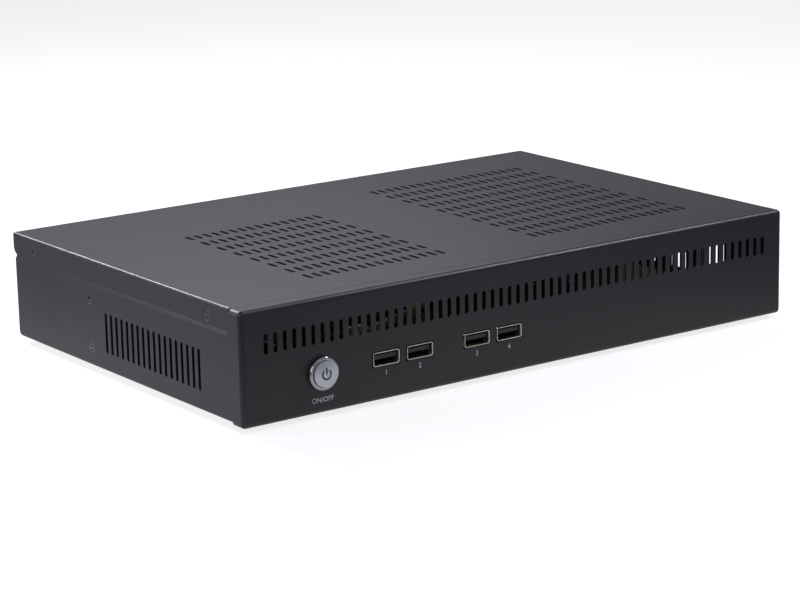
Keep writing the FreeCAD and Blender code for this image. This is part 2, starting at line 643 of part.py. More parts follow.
# ================================================================ power button
def power_button_housing():
    front = (BUTTON_X, -BUTTON_FLANGE_HEIGHT, BUTTON_LEVEL)
    flange = cylinder(BUTTON_RECESS_RADIUS + BUTTON_RIM, front, (0, 1, 0), BUTTON_FLANGE_HEIGHT)
    rim = [edge for edge in flange.Edges if edge.BoundBox.YMax < front[1] + 1e-3]
    flange = flange.makeFillet(BUTTON_FLANGE_ROUNDING, rim)
    body = cylinder(BUTTON_BODY_RADIUS, (BUTTON_X, 0, BUTTON_LEVEL), (0, 1, 0), BUTTON_BODY_LENGTH)
    recess_depth = BUTTON_RECESS_BACK + BUTTON_FLANGE_HEIGHT
    recess = cylinder(BUTTON_RECESS_RADIUS, front, (0, 1, 0), recess_depth)
    depth = BUTTON_BODY_LENGTH + BUTTON_FLANGE_HEIGHT
    bore = cylinder(CAP_STEM_RADIUS + CAP_STEM_FIT, front, (0, 1, 0), depth)
    return fused([flange, body]).cut(Part.makeCompound([recess, bore]))


def power_button_cap():
    """Cap and stem turned in one piece: low dome, straight side, stem."""
    shoulder, tip = CAP_REST, CAP_FRONT
    back = shoulder + CAP_HEIGHT
    sphere = (CAP_RADIUS**2 + CAP_DOME**2) / (2 * CAP_DOME)
    half_angle = math.asin(CAP_RADIUS / sphere) / 2
    middle = Vector(sphere * math.sin(half_angle), tip + sphere * (1 - math.cos(half_angle)), 0)
    outline = [
        Part.Arc(Vector(0, tip, 0), middle, Vector(CAP_RADIUS, shoulder, 0)).toShape(),
        Part.makePolygon([
            Vector(CAP_RADIUS, shoulder, 0),
            Vector(CAP_RADIUS, back, 0),
            Vector(CAP_STEM_RADIUS, back, 0),
            Vector(CAP_STEM_RADIUS, back + CAP_STEM_LENGTH, 0),
            Vector(0, back + CAP_STEM_LENGTH, 0),
            Vector(0, tip, 0),
        ]),
    ]
    half = Part.Face(Part.Wire([outline[0]] + outline[1].Edges))
    cap = half.revolve(Vector(0, 0, 0), Vector(0, 1, 0), 360)
    cap.translate(Vector(BUTTON_X, 0, BUTTON_LEVEL))
    return cap


def power_button_nut():
    nut = hexagon(2 * (BUTTON_BODY_RADIUS + NUT_WALL), (BUTTON_X, SHEET, BUTTON_LEVEL), "y", NUT_THICKNESS)
    return nut.cut(cylinder(BUTTON_BODY_RADIUS, (BUTTON_X, 0, BUTTON_LEVEL), (0, 1, 0), BUTTON_BODY_LENGTH))


def power_button_switch():
    return cylinder(SWITCH_RADIUS, (BUTTON_X, BUTTON_BODY_LENGTH, BUTTON_LEVEL), (0, 1, 0), SWITCH_LENGTH)


def power_button_terminals():
    back = BUTTON_BODY_LENGTH + SWITCH_LENGTH
    pins = []
    for across in (-TERMINAL_SPREAD, TERMINAL_SPREAD):
        for up in (-TERMINAL_SPREAD, TERMINAL_SPREAD):
            x, z = BUTTON_X + across, BUTTON_LEVEL + up
            pins.append(box(
                (x - TERMINAL_WIDTH / 2, back, z - TERMINAL_THICKNESS / 2),
                (x + TERMINAL_WIDTH / 2, back + TERMINAL_LENGTH, z + TERMINAL_THICKNESS / 2),
            ))
    return pins


def button_plug_back():
    return BUTTON_BODY_LENGTH + SWITCH_LENGTH + PLUG_GAP + PLUG_LENGTH


def power_button_plug():
    back = button_plug_back()
    half = TERMINAL_SPREAD + PLUG_WALL
    housing = box(
        (BUTTON_X - half, back - PLUG_LENGTH, BUTTON_LEVEL - half),
        (BUTTON_X + half, back, BUTTON_LEVEL + half),
    )
    return housing.cut(Part.makeCompound(power_button_terminals()))


def button_header_place():
    return BOARD_LEFT + SIDE_HEADER_ACROSS, BOARD_FRONT + BUTTON_HEADER_DEEP


def power_button_lead():
    """Bundle of wires from the button, up over the USB sockets, past the drive and down to its header."""
    back = button_plug_back()
    end_x, end_y = button_header_place()
    x, z = LEAD_START[0] - WIDTH / 2, LEAD_START[1]
    climb_x, climb_z = LEAD_CLIMB[0] - WIDTH / 2, LEAD_CLIMB[1]
    return cable(
        [
            (BUTTON_X, back, BUTTON_LEVEL),
            (BUTTON_X, back + 7.5, BUTTON_LEVEL),
            (BUTTON_X + 4, back + 13.5, BUTTON_LEVEL - 2.5),
            (x - 10, LEAD_BEHIND_BEZEL + 26, z - 10.7),
            (x - 7, LEAD_BEHIND_BEZEL + 16, z - 9.2),
            (x - 5, LEAD_BEHIND_BEZEL + 7, z - 5.2),
            (x, LEAD_BEHIND_BEZEL, z),
            (climb_x, LEAD_BEHIND_BEZEL, climb_z),
            (climb_x + 11, LEAD_BEHIND_BEZEL + 7, LEAD_TOP - 2),
            (end_x - 5, end_y - 65, LEAD_TOP),
            (end_x - 1.5, end_y - 35, LEAD_TOP - 0.5),
            (end_x, end_y - 9, LEAD_TOP - 2.5),
            (end_x, end_y, LEAD_TOP - 10),
            (end_x, end_y, PLUG_TOP),
        ],
        LEAD_RADIUS,
    )


def lead_tie():
    """Plastic band round the wires where they begin to climb, its tail left long."""
    x, low = LEAD_START[0] - WIDTH / 2, LEAD_START[1]
    y, reach = LEAD_BEHIND_BEZEL, LEAD_RADIUS + TIE_THICKNESS
    slope = (LEAD_CLIMB[1] - LEAD_START[1]) / (LEAD_CLIMB[0] - LEAD_START[0])
    middle, half = x + TIE_REACH, TIE_WIDTH / 2
    z = low + slope * TIE_REACH
    aim = Vector(1, 0, slope).normalize()
    start = Vector(middle, y, z) - aim * half
    bore = Part.makeCylinder(LEAD_RADIUS + TIE_FIT, 2 * TIE_WIDTH, start - aim * half, aim)
    head_low = z + LEAD_RADIUS + TIE_THICKNESS
    head_top = head_low + TIE_HEAD_HEIGHT
    head = box((middle - half, y - half, head_low - TIE_THICKNESS), (middle + half, y + half, head_top))
    tail_reach = TIE_TAIL / 2
    tail = box(
        (middle - tail_reach, y - half, head_top - TIE_THICKNESS),
        (middle + tail_reach, y + half, head_top),
    )
    return fused([Part.makeCylinder(reach, TIE_WIDTH, start, aim), head, tail]).cut(bore)


# ================================================================ front USB sockets
def usb_shell(x, z, front, length):
    half_w, half_h = USB_WIDTH / 2, USB_HEIGHT / 2
    outer = box((x - half_w, front, z - half_h), (x + half_w, front + length, z + half_h))
    inner = box(
        (x - half_w + USB_METAL, front - 1, z - half_h + USB_METAL),
        (x + half_w - USB_METAL, front + length - USB_METAL, z + half_h - USB_METAL),
    )
    return outer.cut(inner)


def usb_insulator(x, z, front, length):
    half_w, half_h = USB_WIDTH / 2 - USB_METAL, USB_HEIGHT / 2 - USB_METAL
    back = front + length - USB_METAL
    block = box((x - half_w, back - USB_BLOCK, z - half_h), (x + half_w, back, z + half_h))
    tongue_top = z + half_h - USB_TONGUE_DROP
    tongue = box(
        (x - USB_TONGUE_WIDTH / 2, front + USB_TONGUE_SETBACK, tongue_top - USB_TONGUE_THICKNESS),
        (x + USB_TONGUE_WIDTH / 2, back - USB_BLOCK, tongue_top),
    )
    return block.fuse(tongue)


def front_usb_shells():
    return [usb_shell(x, USB_LEVEL, -USB_PROUD, USB_LENGTH) for x in USB_X]


def front_usb_insulators():
    return [usb_insulator(x, USB_LEVEL, -USB_PROUD, USB_LENGTH) for x in USB_X]


def usb_boards():
    """(low x, high x) of the two small boards, each under a pair of sockets."""
    reach = USB_WIDTH / 2 + USB_BOARD_MARGIN
    return [(USB_X[i] - reach, USB_X[i + 1] + reach) for i in (0, 2)]


def usb_board_holes():
    inset = M3_HEAD_RADIUS + 1.0
    return [(x, USB_BOARD_REAR - inset) for low, high in usb_boards() for x in (low + inset, high - inset)]


def clearance_holes(places):
    """Punch tools for screws through a board, anywhere in the box's height."""
    up = (0, 0, 1)
    return Part.makeCompound([cylinder(M3_CLEARANCE_RADIUS, (x, y, 0), up, BEZEL_HEIGHT) for x, y in places])


def front_usb_boards():
    boards = []
    holes = clearance_holes(usb_board_holes())
    for low, high in usb_boards():
        front = SHEET + USB_BOARD_SETBACK
        board = box((low, front, USB_BOARD_UNDER), (high, USB_BOARD_REAR, USB_BOARD_TOP))
        boards.append(board.cut(holes))
    return boards


def threaded_pillar(x, y, low, high, across_flats):
    pillar = hexagon(across_flats, (x, y, low), "z", high - low)
    depth = min(PILLAR_THREAD, high - low - 1)
    return pillar.cut(cylinder(M3_RADIUS, (x, y, high - depth), (0, 0, 1), depth + 1))


def usb_board_pillars():
    return [threaded_pillar(x, y, FLOOR, USB_BOARD_UNDER, PILLAR_ACROSS_FLATS) for x, y in usb_board_holes()]


def usb_board_screws():
    grip = BOARD_THICKNESS + PILLAR_GRIP
    return [pan_screw((x, y, USB_BOARD_TOP), (0, 0, -1), grip) for x, y in usb_board_holes()]


def front_usb_cables():
    """A cable from the rear edge of each small board, over the motherboard and down on a header."""
    level, back = (USB_BOARD_TOP + USB_BOARD_UNDER) / 2, USB_BOARD_REAR
    leads = []
    for (low, high), (x, y), lane in zip(usb_boards(), header_places(), (0.0, USB_LEAD_LANE)):
        out, along_back = (low + high) / 2, back + USB_LEAD_BACK + lane
        leads.append(cable(
            [
                (out, back, level),
                (out, back + USB_LEAD_OUT, level),
                (out + USB_LEAD_SIDE, along_back, level + 1),
                ((out + x) / 2 - USB_LEAD_OUT, along_back, level + USB_LEAD_HANG),
                (x - USB_LEAD_REACH[0], back + USB_LEAD_REACH[1] + lane, PLUG_TOP + HEADER_LEAD_RISE),
                (x, y, PLUG_TOP + HEADER_LEAD_RISE),
                (x, y, PLUG_TOP),
            ],
            USB_LEAD_RADIUS,
        ))
    return leads


# ================================================================ motherboard and what stands on it
def board_holes():
    sides = (BOARD_LEFT + BOARD_HOLE_SIDE, BOARD_LEFT + BOARD_SIZE - BOARD_HOLE_SIDE)
    return [(x, y) for x in sides for y in (BOARD_FRONT + BOARD_HOLE_FRONT, BOARD_REAR - BOARD_HOLE_REAR)]


def heatsink_centre():
    return BOARD_LEFT + HEATSINK_ACROSS, BOARD_FRONT + HEATSINK_DEEP


def heatsink_holes():
    x, y = heatsink_centre()
    reach = HEATSINK_SIZE / 2 - HEATSINK_SCREW_INSET
    return [(x + a * reach, y + b * reach) for a in (-1, 1) for b in (-1, 1)]


def motherboard():
    right = BOARD_LEFT + BOARD_SIZE
    board = box((BOARD_LEFT, BOARD_FRONT, BOARD_UNDER), (right, BOARD_REAR, BOARD_TOP))
    return board.cut(clearance_holes(board_holes() + heatsink_holes()))


def board_standoffs():
    return [threaded_pillar(x, y, FLOOR, BOARD_UNDER, PILLAR_ACROSS_FLATS) for x, y in board_holes()]


def board_screws():
    grip = BOARD_THICKNESS + PILLAR_GRIP
    return [pan_screw((x, y, BOARD_TOP), (0, 0, -1), grip) for x, y in board_holes()]


def centred_block(size, x, y, low, height):
    return box((x - size / 2, y - size / 2, low), (x + size / 2, y + size / 2, low + height))


def processor():
    x, y = heatsink_centre()
    package = centred_block(PROCESSOR_SIZE, x, y, BOARD_TOP, PROCESSOR_THICKNESS)
    return package.fuse(centred_block(DIE_SIZE, x, y, BOARD_TOP + PROCESSOR_THICKNESS, DIE_THICKNESS))


def heatsink_under():
    return BOARD_TOP + PROCESSOR_THICKNESS + DIE_THICKNESS + PAD_THICKNESS


def thermal_pad():
    x, y = heatsink_centre()
    return centred_block(DIE_SIZE, x, y, heatsink_under() - PAD_THICKNESS, PAD_THICKNESS)


def heatsink():
    """Extruded comb of fins with its corners milled down for the four screws."""
    x, y = heatsink_centre()
    low, floor = heatsink_under(), heatsink_under() + HEATSINK_BASE
    top = heatsink_under() + HEATSINK_HEIGHT
    left, right = x - HEATSINK_SIZE / 2, x + HEATSINK_SIZE / 2
    pitch = (HEATSINK_SIZE - FIN_THICKNESS) / (FIN_COUNT - 1)
    outline = [(left, low)]
    for i in range(FIN_COUNT):
        edge = left + i * pitch
        outline += [(edge, floor), (edge, top), (edge + FIN_THICKNESS, top), (edge + FIN_THICKNESS, floor)]
    outline = [outline[0]] + outline[2:-1] + [(right, low)]
    comb = prism("XZ", outline, y - HEATSINK_SIZE / 2, HEATSINK_SIZE)
    reach = 2 * HEATSINK_SCREW_INSET
    tools = []
    for hole_x, hole_y in heatsink_holes():
        tools.append(centred_block(reach + 0.1, hole_x, hole_y, floor, HEATSINK_HEIGHT))
    return comb.cut(Part.makeCompound(tools)).cut(clearance_holes(heatsink_holes()))


def heatsink_screws():
    grip = heatsink_under() + HEATSINK_BASE - BOARD_UNDER + BACKPLATE_THICKNESS
    seat = heatsink_under() + HEATSINK_BASE
    return [pan_screw((x, y, seat), (0, 0, -1), grip) for x, y in heatsink_holes()]


def heatsink_backplate():
    x, y = heatsink_centre()
    plate = centred_block(HEATSINK_SIZE, x, y, BOARD_UNDER - BACKPLATE_THICKNESS, BACKPLATE_THICKNESS)
    threads = [cylinder(M3_RADIUS, (a, b, 0), (0, 0, 1), BEZEL_HEIGHT) for a, b in heatsink_holes()]
    window = centred_block(PROCESSOR_SIZE, x, y, 0, BEZEL_HEIGHT)
    return plate.cut(Part.makeCompound([window] + threads))


def memory_corner():
    return BOARD_LEFT + MEMORY_ACROSS, BOARD_FRONT + MEMORY_DEEP


def memory_socket():
    x, y = memory_corner()
    end = y + MEMORY_LENGTH + 2 * SOCKET_ARM
    body = box((x, y, BOARD_TOP), (x + SOCKET_WIDTH, end, BOARD_TOP + SOCKET_HEIGHT))
    arm_end, arm_top = x + SOCKET_WIDTH + MEMORY_DEPTH * 0.7, BOARD_TOP + SOCKET_HEIGHT * 0.7
    arms = [box((x, a, BOARD_TOP), (arm_end, a + SOCKET_ARM, arm_top)) for a in (y, end - SOCKET_ARM)]
    return fused([body] + arms).cut(memory_board())


def memory_board():
    x, y = memory_corner()
    left = x + SOCKET_WIDTH - MEMORY_INSERTION
    near, level = y + SOCKET_ARM, BOARD_TOP + SOCKET_HEIGHT / 2
    return box((left, near, level), (left + MEMORY_DEPTH, near + MEMORY_LENGTH, level + MEMORY_BOARD))


def memory_module():
    x, y = memory_corner()
    level = BOARD_TOP + SOCKET_HEIGHT / 2 + MEMORY_BOARD
    pitch = MEMORY_LENGTH / MEMORY_CHIPS
    gap = (pitch - MEMORY_CHIP_WIDTH) / 2
    left = x + SOCKET_WIDTH + MEMORY_INSERTION
    chips = []
    for i in range(MEMORY_CHIPS):
        near = y + SOCKET_ARM + i * pitch + gap
        chips.append(box(
            (left, near, level),
            (left + MEMORY_CHIP_LENGTH, near + MEMORY_CHIP_WIDTH, level + MEMORY_CHIP_THICKNESS),
        ))
    return fused([memory_board()] + chips)


def coin_cell_place():
    return BOARD_LEFT + COIN_ACROSS, BOARD_FRONT + COIN_DEEP


def coin_cell_holder():
    x, y = coin_cell_place()
    body = cylinder(COIN_RADIUS + COIN_WALL, (x, y, BOARD_TOP), (0, 0, 1), COIN_THICKNESS + COIN_WALL)
    return body.cut(coin_cell())


def coin_cell():
    x, y = coin_cell_place()
    return cylinder(COIN_RADIUS, (x, y, BOARD_TOP + COIN_WALL), (0, 0, 1), COIN_THICKNESS)


def power_chokes():
    """Row along the heatsink's left side."""
    x, y = heatsink_centre()
    row = x - HEATSINK_SIZE / 2 - CHOKE_SIZE / 2 - CHOKE_GAP
    places = [y - HEATSINK_SIZE / 2 + CHOKE_SIZE + i * CHOKE_PITCH for i in range(CHOKES)]
    return [centred_block(CHOKE_SIZE, row, place, BOARD_TOP, CHOKE_HEIGHT) for place in places]


def capacitors():
    x, y = heatsink_centre()
    rear = y + HEATSINK_SIZE / 2 + 2 * CAPACITOR_RADIUS
    places = [x + (i - (CAPACITORS - 1) / 2) * CAPACITOR_PITCH for i in range(CAPACITORS)]
    up = (0, 0, 1)
    return [cylinder(CAPACITOR_RADIUS, (at, rear, BOARD_TOP), up, CAPACITOR_HEIGHT) for at in places]


def header_places():
    """Headers for the two front USB cables, along the board's front edge."""
    beside = usb_boards()[-1][1]
    return [(beside + across, BOARD_FRONT + HEADER_FROM_EDGE) for across in HEADERS_BESIDE_USB]


def header_blocks(low, height, growth):
    half_x, half_y = HEADER_LENGTH / 2 + growth, HEADER_WIDTH / 2 + growth
    places = header_places() + [button_header_place(), drive_header_place()]
    return [box((x - half_x, y - half_y, low), (x + half_x, y + half_y, low + height)) for x, y in places]


def board_headers():
    return header_blocks(BOARD_TOP, HEADER_HEIGHT, 0.0)


def header_plugs():
    return header_blocks(BOARD_TOP + HEADER_HEIGHT, HEADER_PLUG_HEIGHT, HEADER_PLUG_GROWTH)


# ================================================================ drive and its bracket
def drive_holes():
    across = (DRIVE_LEFT + DRIVE_HOLE_SIDE, DRIVE_LEFT + DRIVE_WIDTH - DRIVE_HOLE_SIDE)
    front, rear = DRIVE_FROM_FRONT + DRIVE_HOLE_FRONT, DRIVE_FROM_FRONT + DRIVE_LENGTH - DRIVE_HOLE_REAR
    return [(x, y) for x in across for y in (front, rear)]


def solid_state_drive():
    left, front, low = DRIVE_LEFT, DRIVE_FROM_FRONT, BRACKET_LEVEL
    case = box((left, front, low), (left + DRIVE_WIDTH, front + DRIVE_LENGTH, low + DRIVE_THICKNESS))
    upright = [edge for edge in case.Edges if edge.BoundBox.ZLength > DRIVE_THICKNESS / 2]
    case = case.makeFillet(DRIVE_CORNER, upright)
    up = (0, 0, 1)
    threads = [cylinder(M3_RADIUS, (x, y, low - 1), up, DRIVE_THREAD + 1) for x, y in drive_holes()]
    return case.cut(Part.makeCompound(threads))


def drive_screws():
    under = BRACKET_LEVEL - BRACKET_SHEET
    return [pan_screw((x, y, under), (0, 0, 1), BRACKET_SHEET + DRIVE_THREAD) for x, y in drive_holes()]


def bracket_foot_places():
    x = DRIVE_LEFT + DRIVE_WIDTH + BRACKET_MARGIN + BRACKET_FOOT * 0.6
    ends = (DRIVE_FROM_FRONT + BRACKET_FOOT, DRIVE_FROM_FRONT + DRIVE_LENGTH - BRACKET_FOOT)
    return [(x, y) for y in ends]


def drive_bracket():
    """Shelf under the drive, its right side folded down to a foot, its arm ending in a tall tab."""
    wall = -TRAY_SIDE + SHEET
    under = BRACKET_LEVEL - BRACKET_SHEET
    left, right = DRIVE_LEFT - BRACKET_MARGIN, DRIVE_LEFT + DRIVE_WIDTH + BRACKET_MARGIN
    front, rear = DRIVE_FROM_FRONT - BRACKET_MARGIN, DRIVE_FROM_FRONT + DRIVE_LENGTH + BRACKET_MARGIN
    tab_front, tab_rear = (BRACKET_SCREW_REACH + side * BRACKET_TAB_WIDTH / 2 for side in (-1, 1))
    tab_low = BRACKET_SCREW_LOW - BRACKET_TAB_MARGIN
    tab_top = COVER_EDGE - BRACKET_SCREW_DROP + BRACKET_TAB_MARGIN
    outline = [(left, under), (right, under), (right, FLOOR), (right + BRACKET_FOOT, FLOOR)]
    bracket = fused([
        folded_sheet("XZ", outline, BRACKET_SHEET, front, rear - front),
        box((wall, tab_front, under), (left, tab_rear, BRACKET_LEVEL)),
        box((wall, tab_front, tab_low), (wall + BRACKET_SHEET, tab_rear, tab_top)),
    ])
    tools = [clearance_holes(drive_holes() + bracket_foot_places())]
    for side, y, z in bracket_screw_places():
        tools.append(countersink((side * TRAY_SIDE, y, z), (-side, 0, 0), 5))
    return bracket.cut(Part.makeCompound(tools))


def bracket_screws():
    grip = BRACKET_SHEET + SHEET
    return [pan_screw((x, y, FLOOR + BRACKET_SHEET), (0, 0, -1), grip) for x, y in bracket_foot_places()]


def drive_plug_place():
    return DRIVE_LEFT + DRIVE_WIDTH * 0.6, DRIVE_FROM_FRONT + DRIVE_LENGTH


def drive_plug():
    x, y = drive_plug_place()
    half, level = DRIVE_PLUG_WIDTH / 2, BRACKET_LEVEL + BRACKET_SHEET / 2
    return box((x - half, y, level), (x + half, y + DRIVE_PLUG_LENGTH, level + DRIVE_PLUG_HEIGHT))


def drive_header_place():
    return BOARD_LEFT + SIDE_HEADER_ACROSS, BOARD_REAR - DRIVE_HEADER_FROM_REAR


def drive_cable():
    x, y = drive_plug_place()
    end_x, end_y = drive_header_place()
    start = y + DRIVE_PLUG_LENGTH
    level = BRACKET_LEVEL + (BRACKET_SHEET + DRIVE_PLUG_HEIGHT) / 2
    return cable(
        [
            (x, start, level),
            (x, start + DRIVE_LEAD_OUT, level),
            (x + DRIVE_LEAD_SIDE[0], start + DRIVE_LEAD_BACK, level + 1),
            (x + DRIVE_LEAD_SIDE[1], start + DRIVE_LEAD_BACK, level + 3),
            (end_x - DRIVE_LEAD_LAST[0], end_y + DRIVE_LEAD_LAST[1], PLUG_TOP + HEADER_LEAD_RISE + 2),
            (end_x, end_y, PLUG_TOP + HEADER_LEAD_RISE),
            (end_x, end_y, PLUG_TOP),
        ],
        USB_LEAD_RADIUS,
    )


# ================================================================ rear connectors
def shield_box():
    """Left, right, low and high sides of the opening in the tray's rear wall."""
    return SHIELD_LEFT, SHIELD_LEFT + SHIELD_WIDTH, SHIELD_LOW, SHIELD_LOW + SHIELD_HEIGHT


def port_places():
    """Middle of each connector, in a row across the shield with equal gaps between them."""
    row = [
        ("jack", JACK_SIZE[0]),
        ("hdmi", HDMI_SIZE[0]),
        ("vga", VGA_SIZE[0]),
        ("lan_1", LAN_SIZE[0]),
        ("lan_2", LAN_SIZE[0]),
        ("usb_1", USB_WIDTH),
        ("usb_2", USB_WIDTH),
        ("audio", AUDIO_SIZE[0]),
    ]
    free = SHIELD_WIDTH - 2 * PORT_END_MARGIN - sum(width for name, width in row)
    gap = free / (len(row) - 1)
    places, edge = {}, SHIELD_LEFT + PORT_END_MARGIN
    for name, width in row:
        places[name] = edge + width / 2
        edge += width + gap
    return places


PORTS = port_places()
LAN_PORTS = (PORTS["lan_1"], PORTS["lan_2"])
REAR_USB_PORTS = (PORTS["usb_1"], PORTS["usb_2"])


def port_block(x, size, low=BOARD_TOP, rear=PORT_REAR):
    """Box of a connector standing on the board, its opening side at the rear."""
    return box((x - size[0] / 2, rear - size[1], low), (x + size[0] / 2, rear, low + size[2]))


def port_window(x, width, low, height):
    """Opening in the shield round a connector."""
    reach, high = width / 2 + PORT_GAP, low + height + PORT_GAP
    return box((x - reach, SHIELD_INSIDE - 1, low - PORT_GAP), (x + reach, TRAY_REAR + 1, high))


def vga_level():
    return BOARD_TOP + VGA_SIZE[2] / 2


def vga_screw_places():
    return [(PORTS["vga"] + side * VGA_SCREW_SPREAD, vga_level()) for side in (-1, 1)]


def io_shield():
    """Thin pressed plate flush in the rear wall, with a rim and a lip behind the wall."""
    left, right, low, high = shield_box()
    wall = TRAY_REAR - SHEET
    lip, sheet = SHIELD_LIP, SHIELD_SHEET
    pan = box((left, wall - sheet, low), (right, TRAY_REAR, high))
    flange = box((left - lip, wall - sheet, low - lip), (right + lip, wall, high + lip))
    hollow = box((left + sheet, wall - sheet - 1, low + sheet), (right - sheet, SHIELD_INSIDE, high - sheet))
    usb_height = REAR_USB_PITCH + USB_HEIGHT
    windows = [
        port_window(PORTS["jack"], JACK_SIZE[0], BOARD_TOP, JACK_SIZE[2]),
        port_window(PORTS["hdmi"], HDMI_SIZE[0], BOARD_TOP, HDMI_SIZE[2]),
        port_window(PORTS["vga"], VGA_SHELL[0], vga_level() - VGA_SHELL[1] / 2, VGA_SHELL[1]),
        port_window(PORTS["audio"], 2 * AUDIO_COLLAR, audio_level() - AUDIO_COLLAR, 2 * AUDIO_COLLAR),
    ]
    windows += [port_window(x, LAN_SIZE[0], BOARD_TOP, LAN_SIZE[2]) for x in LAN_PORTS]
    windows += [port_window(x, USB_WIDTH, BOARD_TOP, usb_height) for x in REAR_USB_PORTS]
    radius = VGA_SCREW_ACROSS_FLATS / math.sqrt(3) + PORT_GAP
    windows += [cylinder(radius, (x, SHIELD_INSIDE - 1, z), (0, 1, 0), 3) for x, z in vga_screw_places()]
    return fused([pan, flange]).cut(Part.makeCompound([hollow] + windows))


def dc_jack():
    block = port_block(PORTS["jack"], JACK_SIZE)
    centre = (PORTS["jack"], PORT_REAR - JACK_DEPTH, BOARD_TOP + JACK_SIZE[2] / 2)
    return block.cut(cylinder(JACK_OPENING, centre, (0, 1, 0), JACK_DEPTH + 1))


def dc_jack_pin():
    centre = (PORTS["jack"], PORT_REAR - JACK_DEPTH, BOARD_TOP + JACK_SIZE[2] / 2)
    return cylinder(JACK_PIN, centre, (0, 1, 0), JACK_DEPTH - 1)


def hdmi_outline(inset):
    width, height = HDMI_SIZE[0] / 2 - inset, HDMI_SIZE[2]
    x, low, high = PORTS["hdmi"], BOARD_TOP + inset, BOARD_TOP + height - inset
    slant = HDMI_CHAMFER
    return [
        (x - width + slant, low),
        (x + width - slant, low),
        (x + width, low + slant),
        (x + width, high),
        (x - width, high),
        (x - width, low + slant),
    ]


def hdmi_shell():
    front = PORT_REAR - HDMI_SIZE[1]
    outer = prism("XZ", hdmi_outline(0.0), front, HDMI_SIZE[1])
    return outer.cut(prism("XZ", hdmi_outline(HDMI_METAL), front + HDMI_METAL, HDMI_SIZE[1]))


def hdmi_insulator():
    front = PORT_REAR - HDMI_SIZE[1] + HDMI_METAL
    block = prism("XZ", hdmi_outline(HDMI_METAL), front, HDMI_SIZE[1] / 3)
    width, thickness = HDMI_TONGUE
    x, low = PORTS["hdmi"], BOARD_TOP + HDMI_SIZE[2] / 2
    tongue = box((x - width / 2, front, low), (x + width / 2, PORT_REAR - 1, low + thickness))
    return fused([block, tongue])


def d_outline(inset):
    half_w, half_h = VGA_SHELL[0] / 2 - inset, VGA_SHELL[1] / 2 - inset
    x, z = PORTS["vga"], vga_level()
    return [
        (x - half_w + VGA_SLANT, z - half_h),
        (x + half_w - VGA_SLANT, z - half_h),
        (x + half_w, z + half_h),
        (x - half_w, z + half_h),
    ]


def vga_shell():
    """Flange behind the shield and the D-shaped shell that stands out of it."""
    front = SHIELD_INSIDE - PORT_GAP - VGA_FLANGE
    width, depth, height = VGA_SIZE
    flange = port_block(PORTS["vga"], (width, VGA_FLANGE, height), rear=front + VGA_FLANGE)
    shell = prism("XZ", d_outline(0.0), front, VGA_REAR - front)
    return fused([flange, shell]).cut(prism("XZ", d_outline(VGA_METAL), front - 1, VGA_REAR))


def vga_insulator():
    front = SHIELD_INSIDE - PORT_GAP - VGA_FLANGE
    block = port_block(PORTS["vga"], VGA_SIZE, rear=front)
    core_end = VGA_REAR - VGA_METAL
    insulator = fused([block, prism("XZ", d_outline(VGA_METAL), front - 1, core_end - front + 1)])
    x, step, rise = PORTS["vga"], *VGA_HOLE_PITCH
    holes = []
    for row in (-1, 0, 1):
        for column in range(-2, 3):
            place = (x + (column + row * 0.25) * step, core_end - 3, vga_level() + row * rise)
            holes.append(cylinder(VGA_HOLE_RADIUS, place, (0, 1, 0), 4))
    return insulator.cut(Part.makeCompound(holes))


def vga_screws():
    front = SHIELD_INSIDE - PORT_GAP
    length = VGA_REAR - front - 0.5
    screws = []
    for x, z in vga_screw_places():
        nut = hexagon(VGA_SCREW_ACROSS_FLATS, (x, front, z), "y", length)
        screws.append(nut.cut(cylinder(1.2, (x, front + length - 4, z), (0, 1, 0), 5)))
    return screws


def lan_opening(x, depth):
    """Cavity of one network socket, its latch notch at the bottom."""
    width, height = LAN_OPENING
    latch_width, latch_height = LAN_LATCH
    low, rear = BOARD_TOP + LAN_SILL, PORT_REAR + 1
    cavity = port_block(x, (width, depth, height), low=low, rear=rear)
    latch = port_block(x, (latch_width, depth, height), low=low - latch_height, rear=rear)
    return fused([cavity, latch])


def lan_inside(x):
    width, depth, height = (size - 2 * LAN_METAL for size in LAN_SIZE)
    return port_block(x, (width, depth, height), BOARD_TOP + LAN_METAL, PORT_REAR - LAN_METAL)


def lan_shells():
    shells = []
    for x in LAN_PORTS:
        hollow = fused([lan_inside(x), lan_opening(x, LAN_DEPTH)])
        shells.append(port_block(x, LAN_SIZE).cut(hollow))
    return shells


def lan_inserts():
    return [lan_inside(x).cut(lan_opening(x, LAN_DEPTH)) for x in LAN_PORTS]


def lan_contacts():
    """Eight spring contacts hanging under each socket's roof."""
    roof = BOARD_TOP + LAN_SILL + LAN_OPENING[1]
    contacts = []
    for x in LAN_PORTS:
        for i in range(LAN_CONTACTS):
            place = x + (i - (LAN_CONTACTS - 1) / 2) * LAN_CONTACT_PITCH
            contacts.append(port_block(place, (0.4, 6.0, 1.2), low=roof - 1.2, rear=PORT_REAR - 4.0))
    return contacts


def rear_usb_levels():
    return [BOARD_TOP + USB_HEIGHT / 2 + i * REAR_USB_PITCH for i in range(2)]


def turned_round(shape, x, rear):
    """Socket drawn with its mouth at y = 0 facing forward, set at x with its mouth at the rear."""
    shape.rotate(Vector(0, 0, 0), Vector(0, 0, 1), 180)
    shape.translate(Vector(x, rear, 0))
    return shape


def rear_usb_shells():
    shells = []
    for x in REAR_USB_PORTS:
        stack = fused([usb_shell(0, z, 0, REAR_USB_DEPTH) for z in rear_usb_levels()] + [rear_usb_bridge()])
        shells.append(turned_round(stack, x, PORT_REAR))
    return shells


def rear_usb_bridge():
    low, high = rear_usb_levels()
    half_w, half_h = USB_WIDTH / 2, USB_HEIGHT / 2
    return box((-half_w, 0, low + half_h), (half_w, REAR_USB_DEPTH, high - half_h))


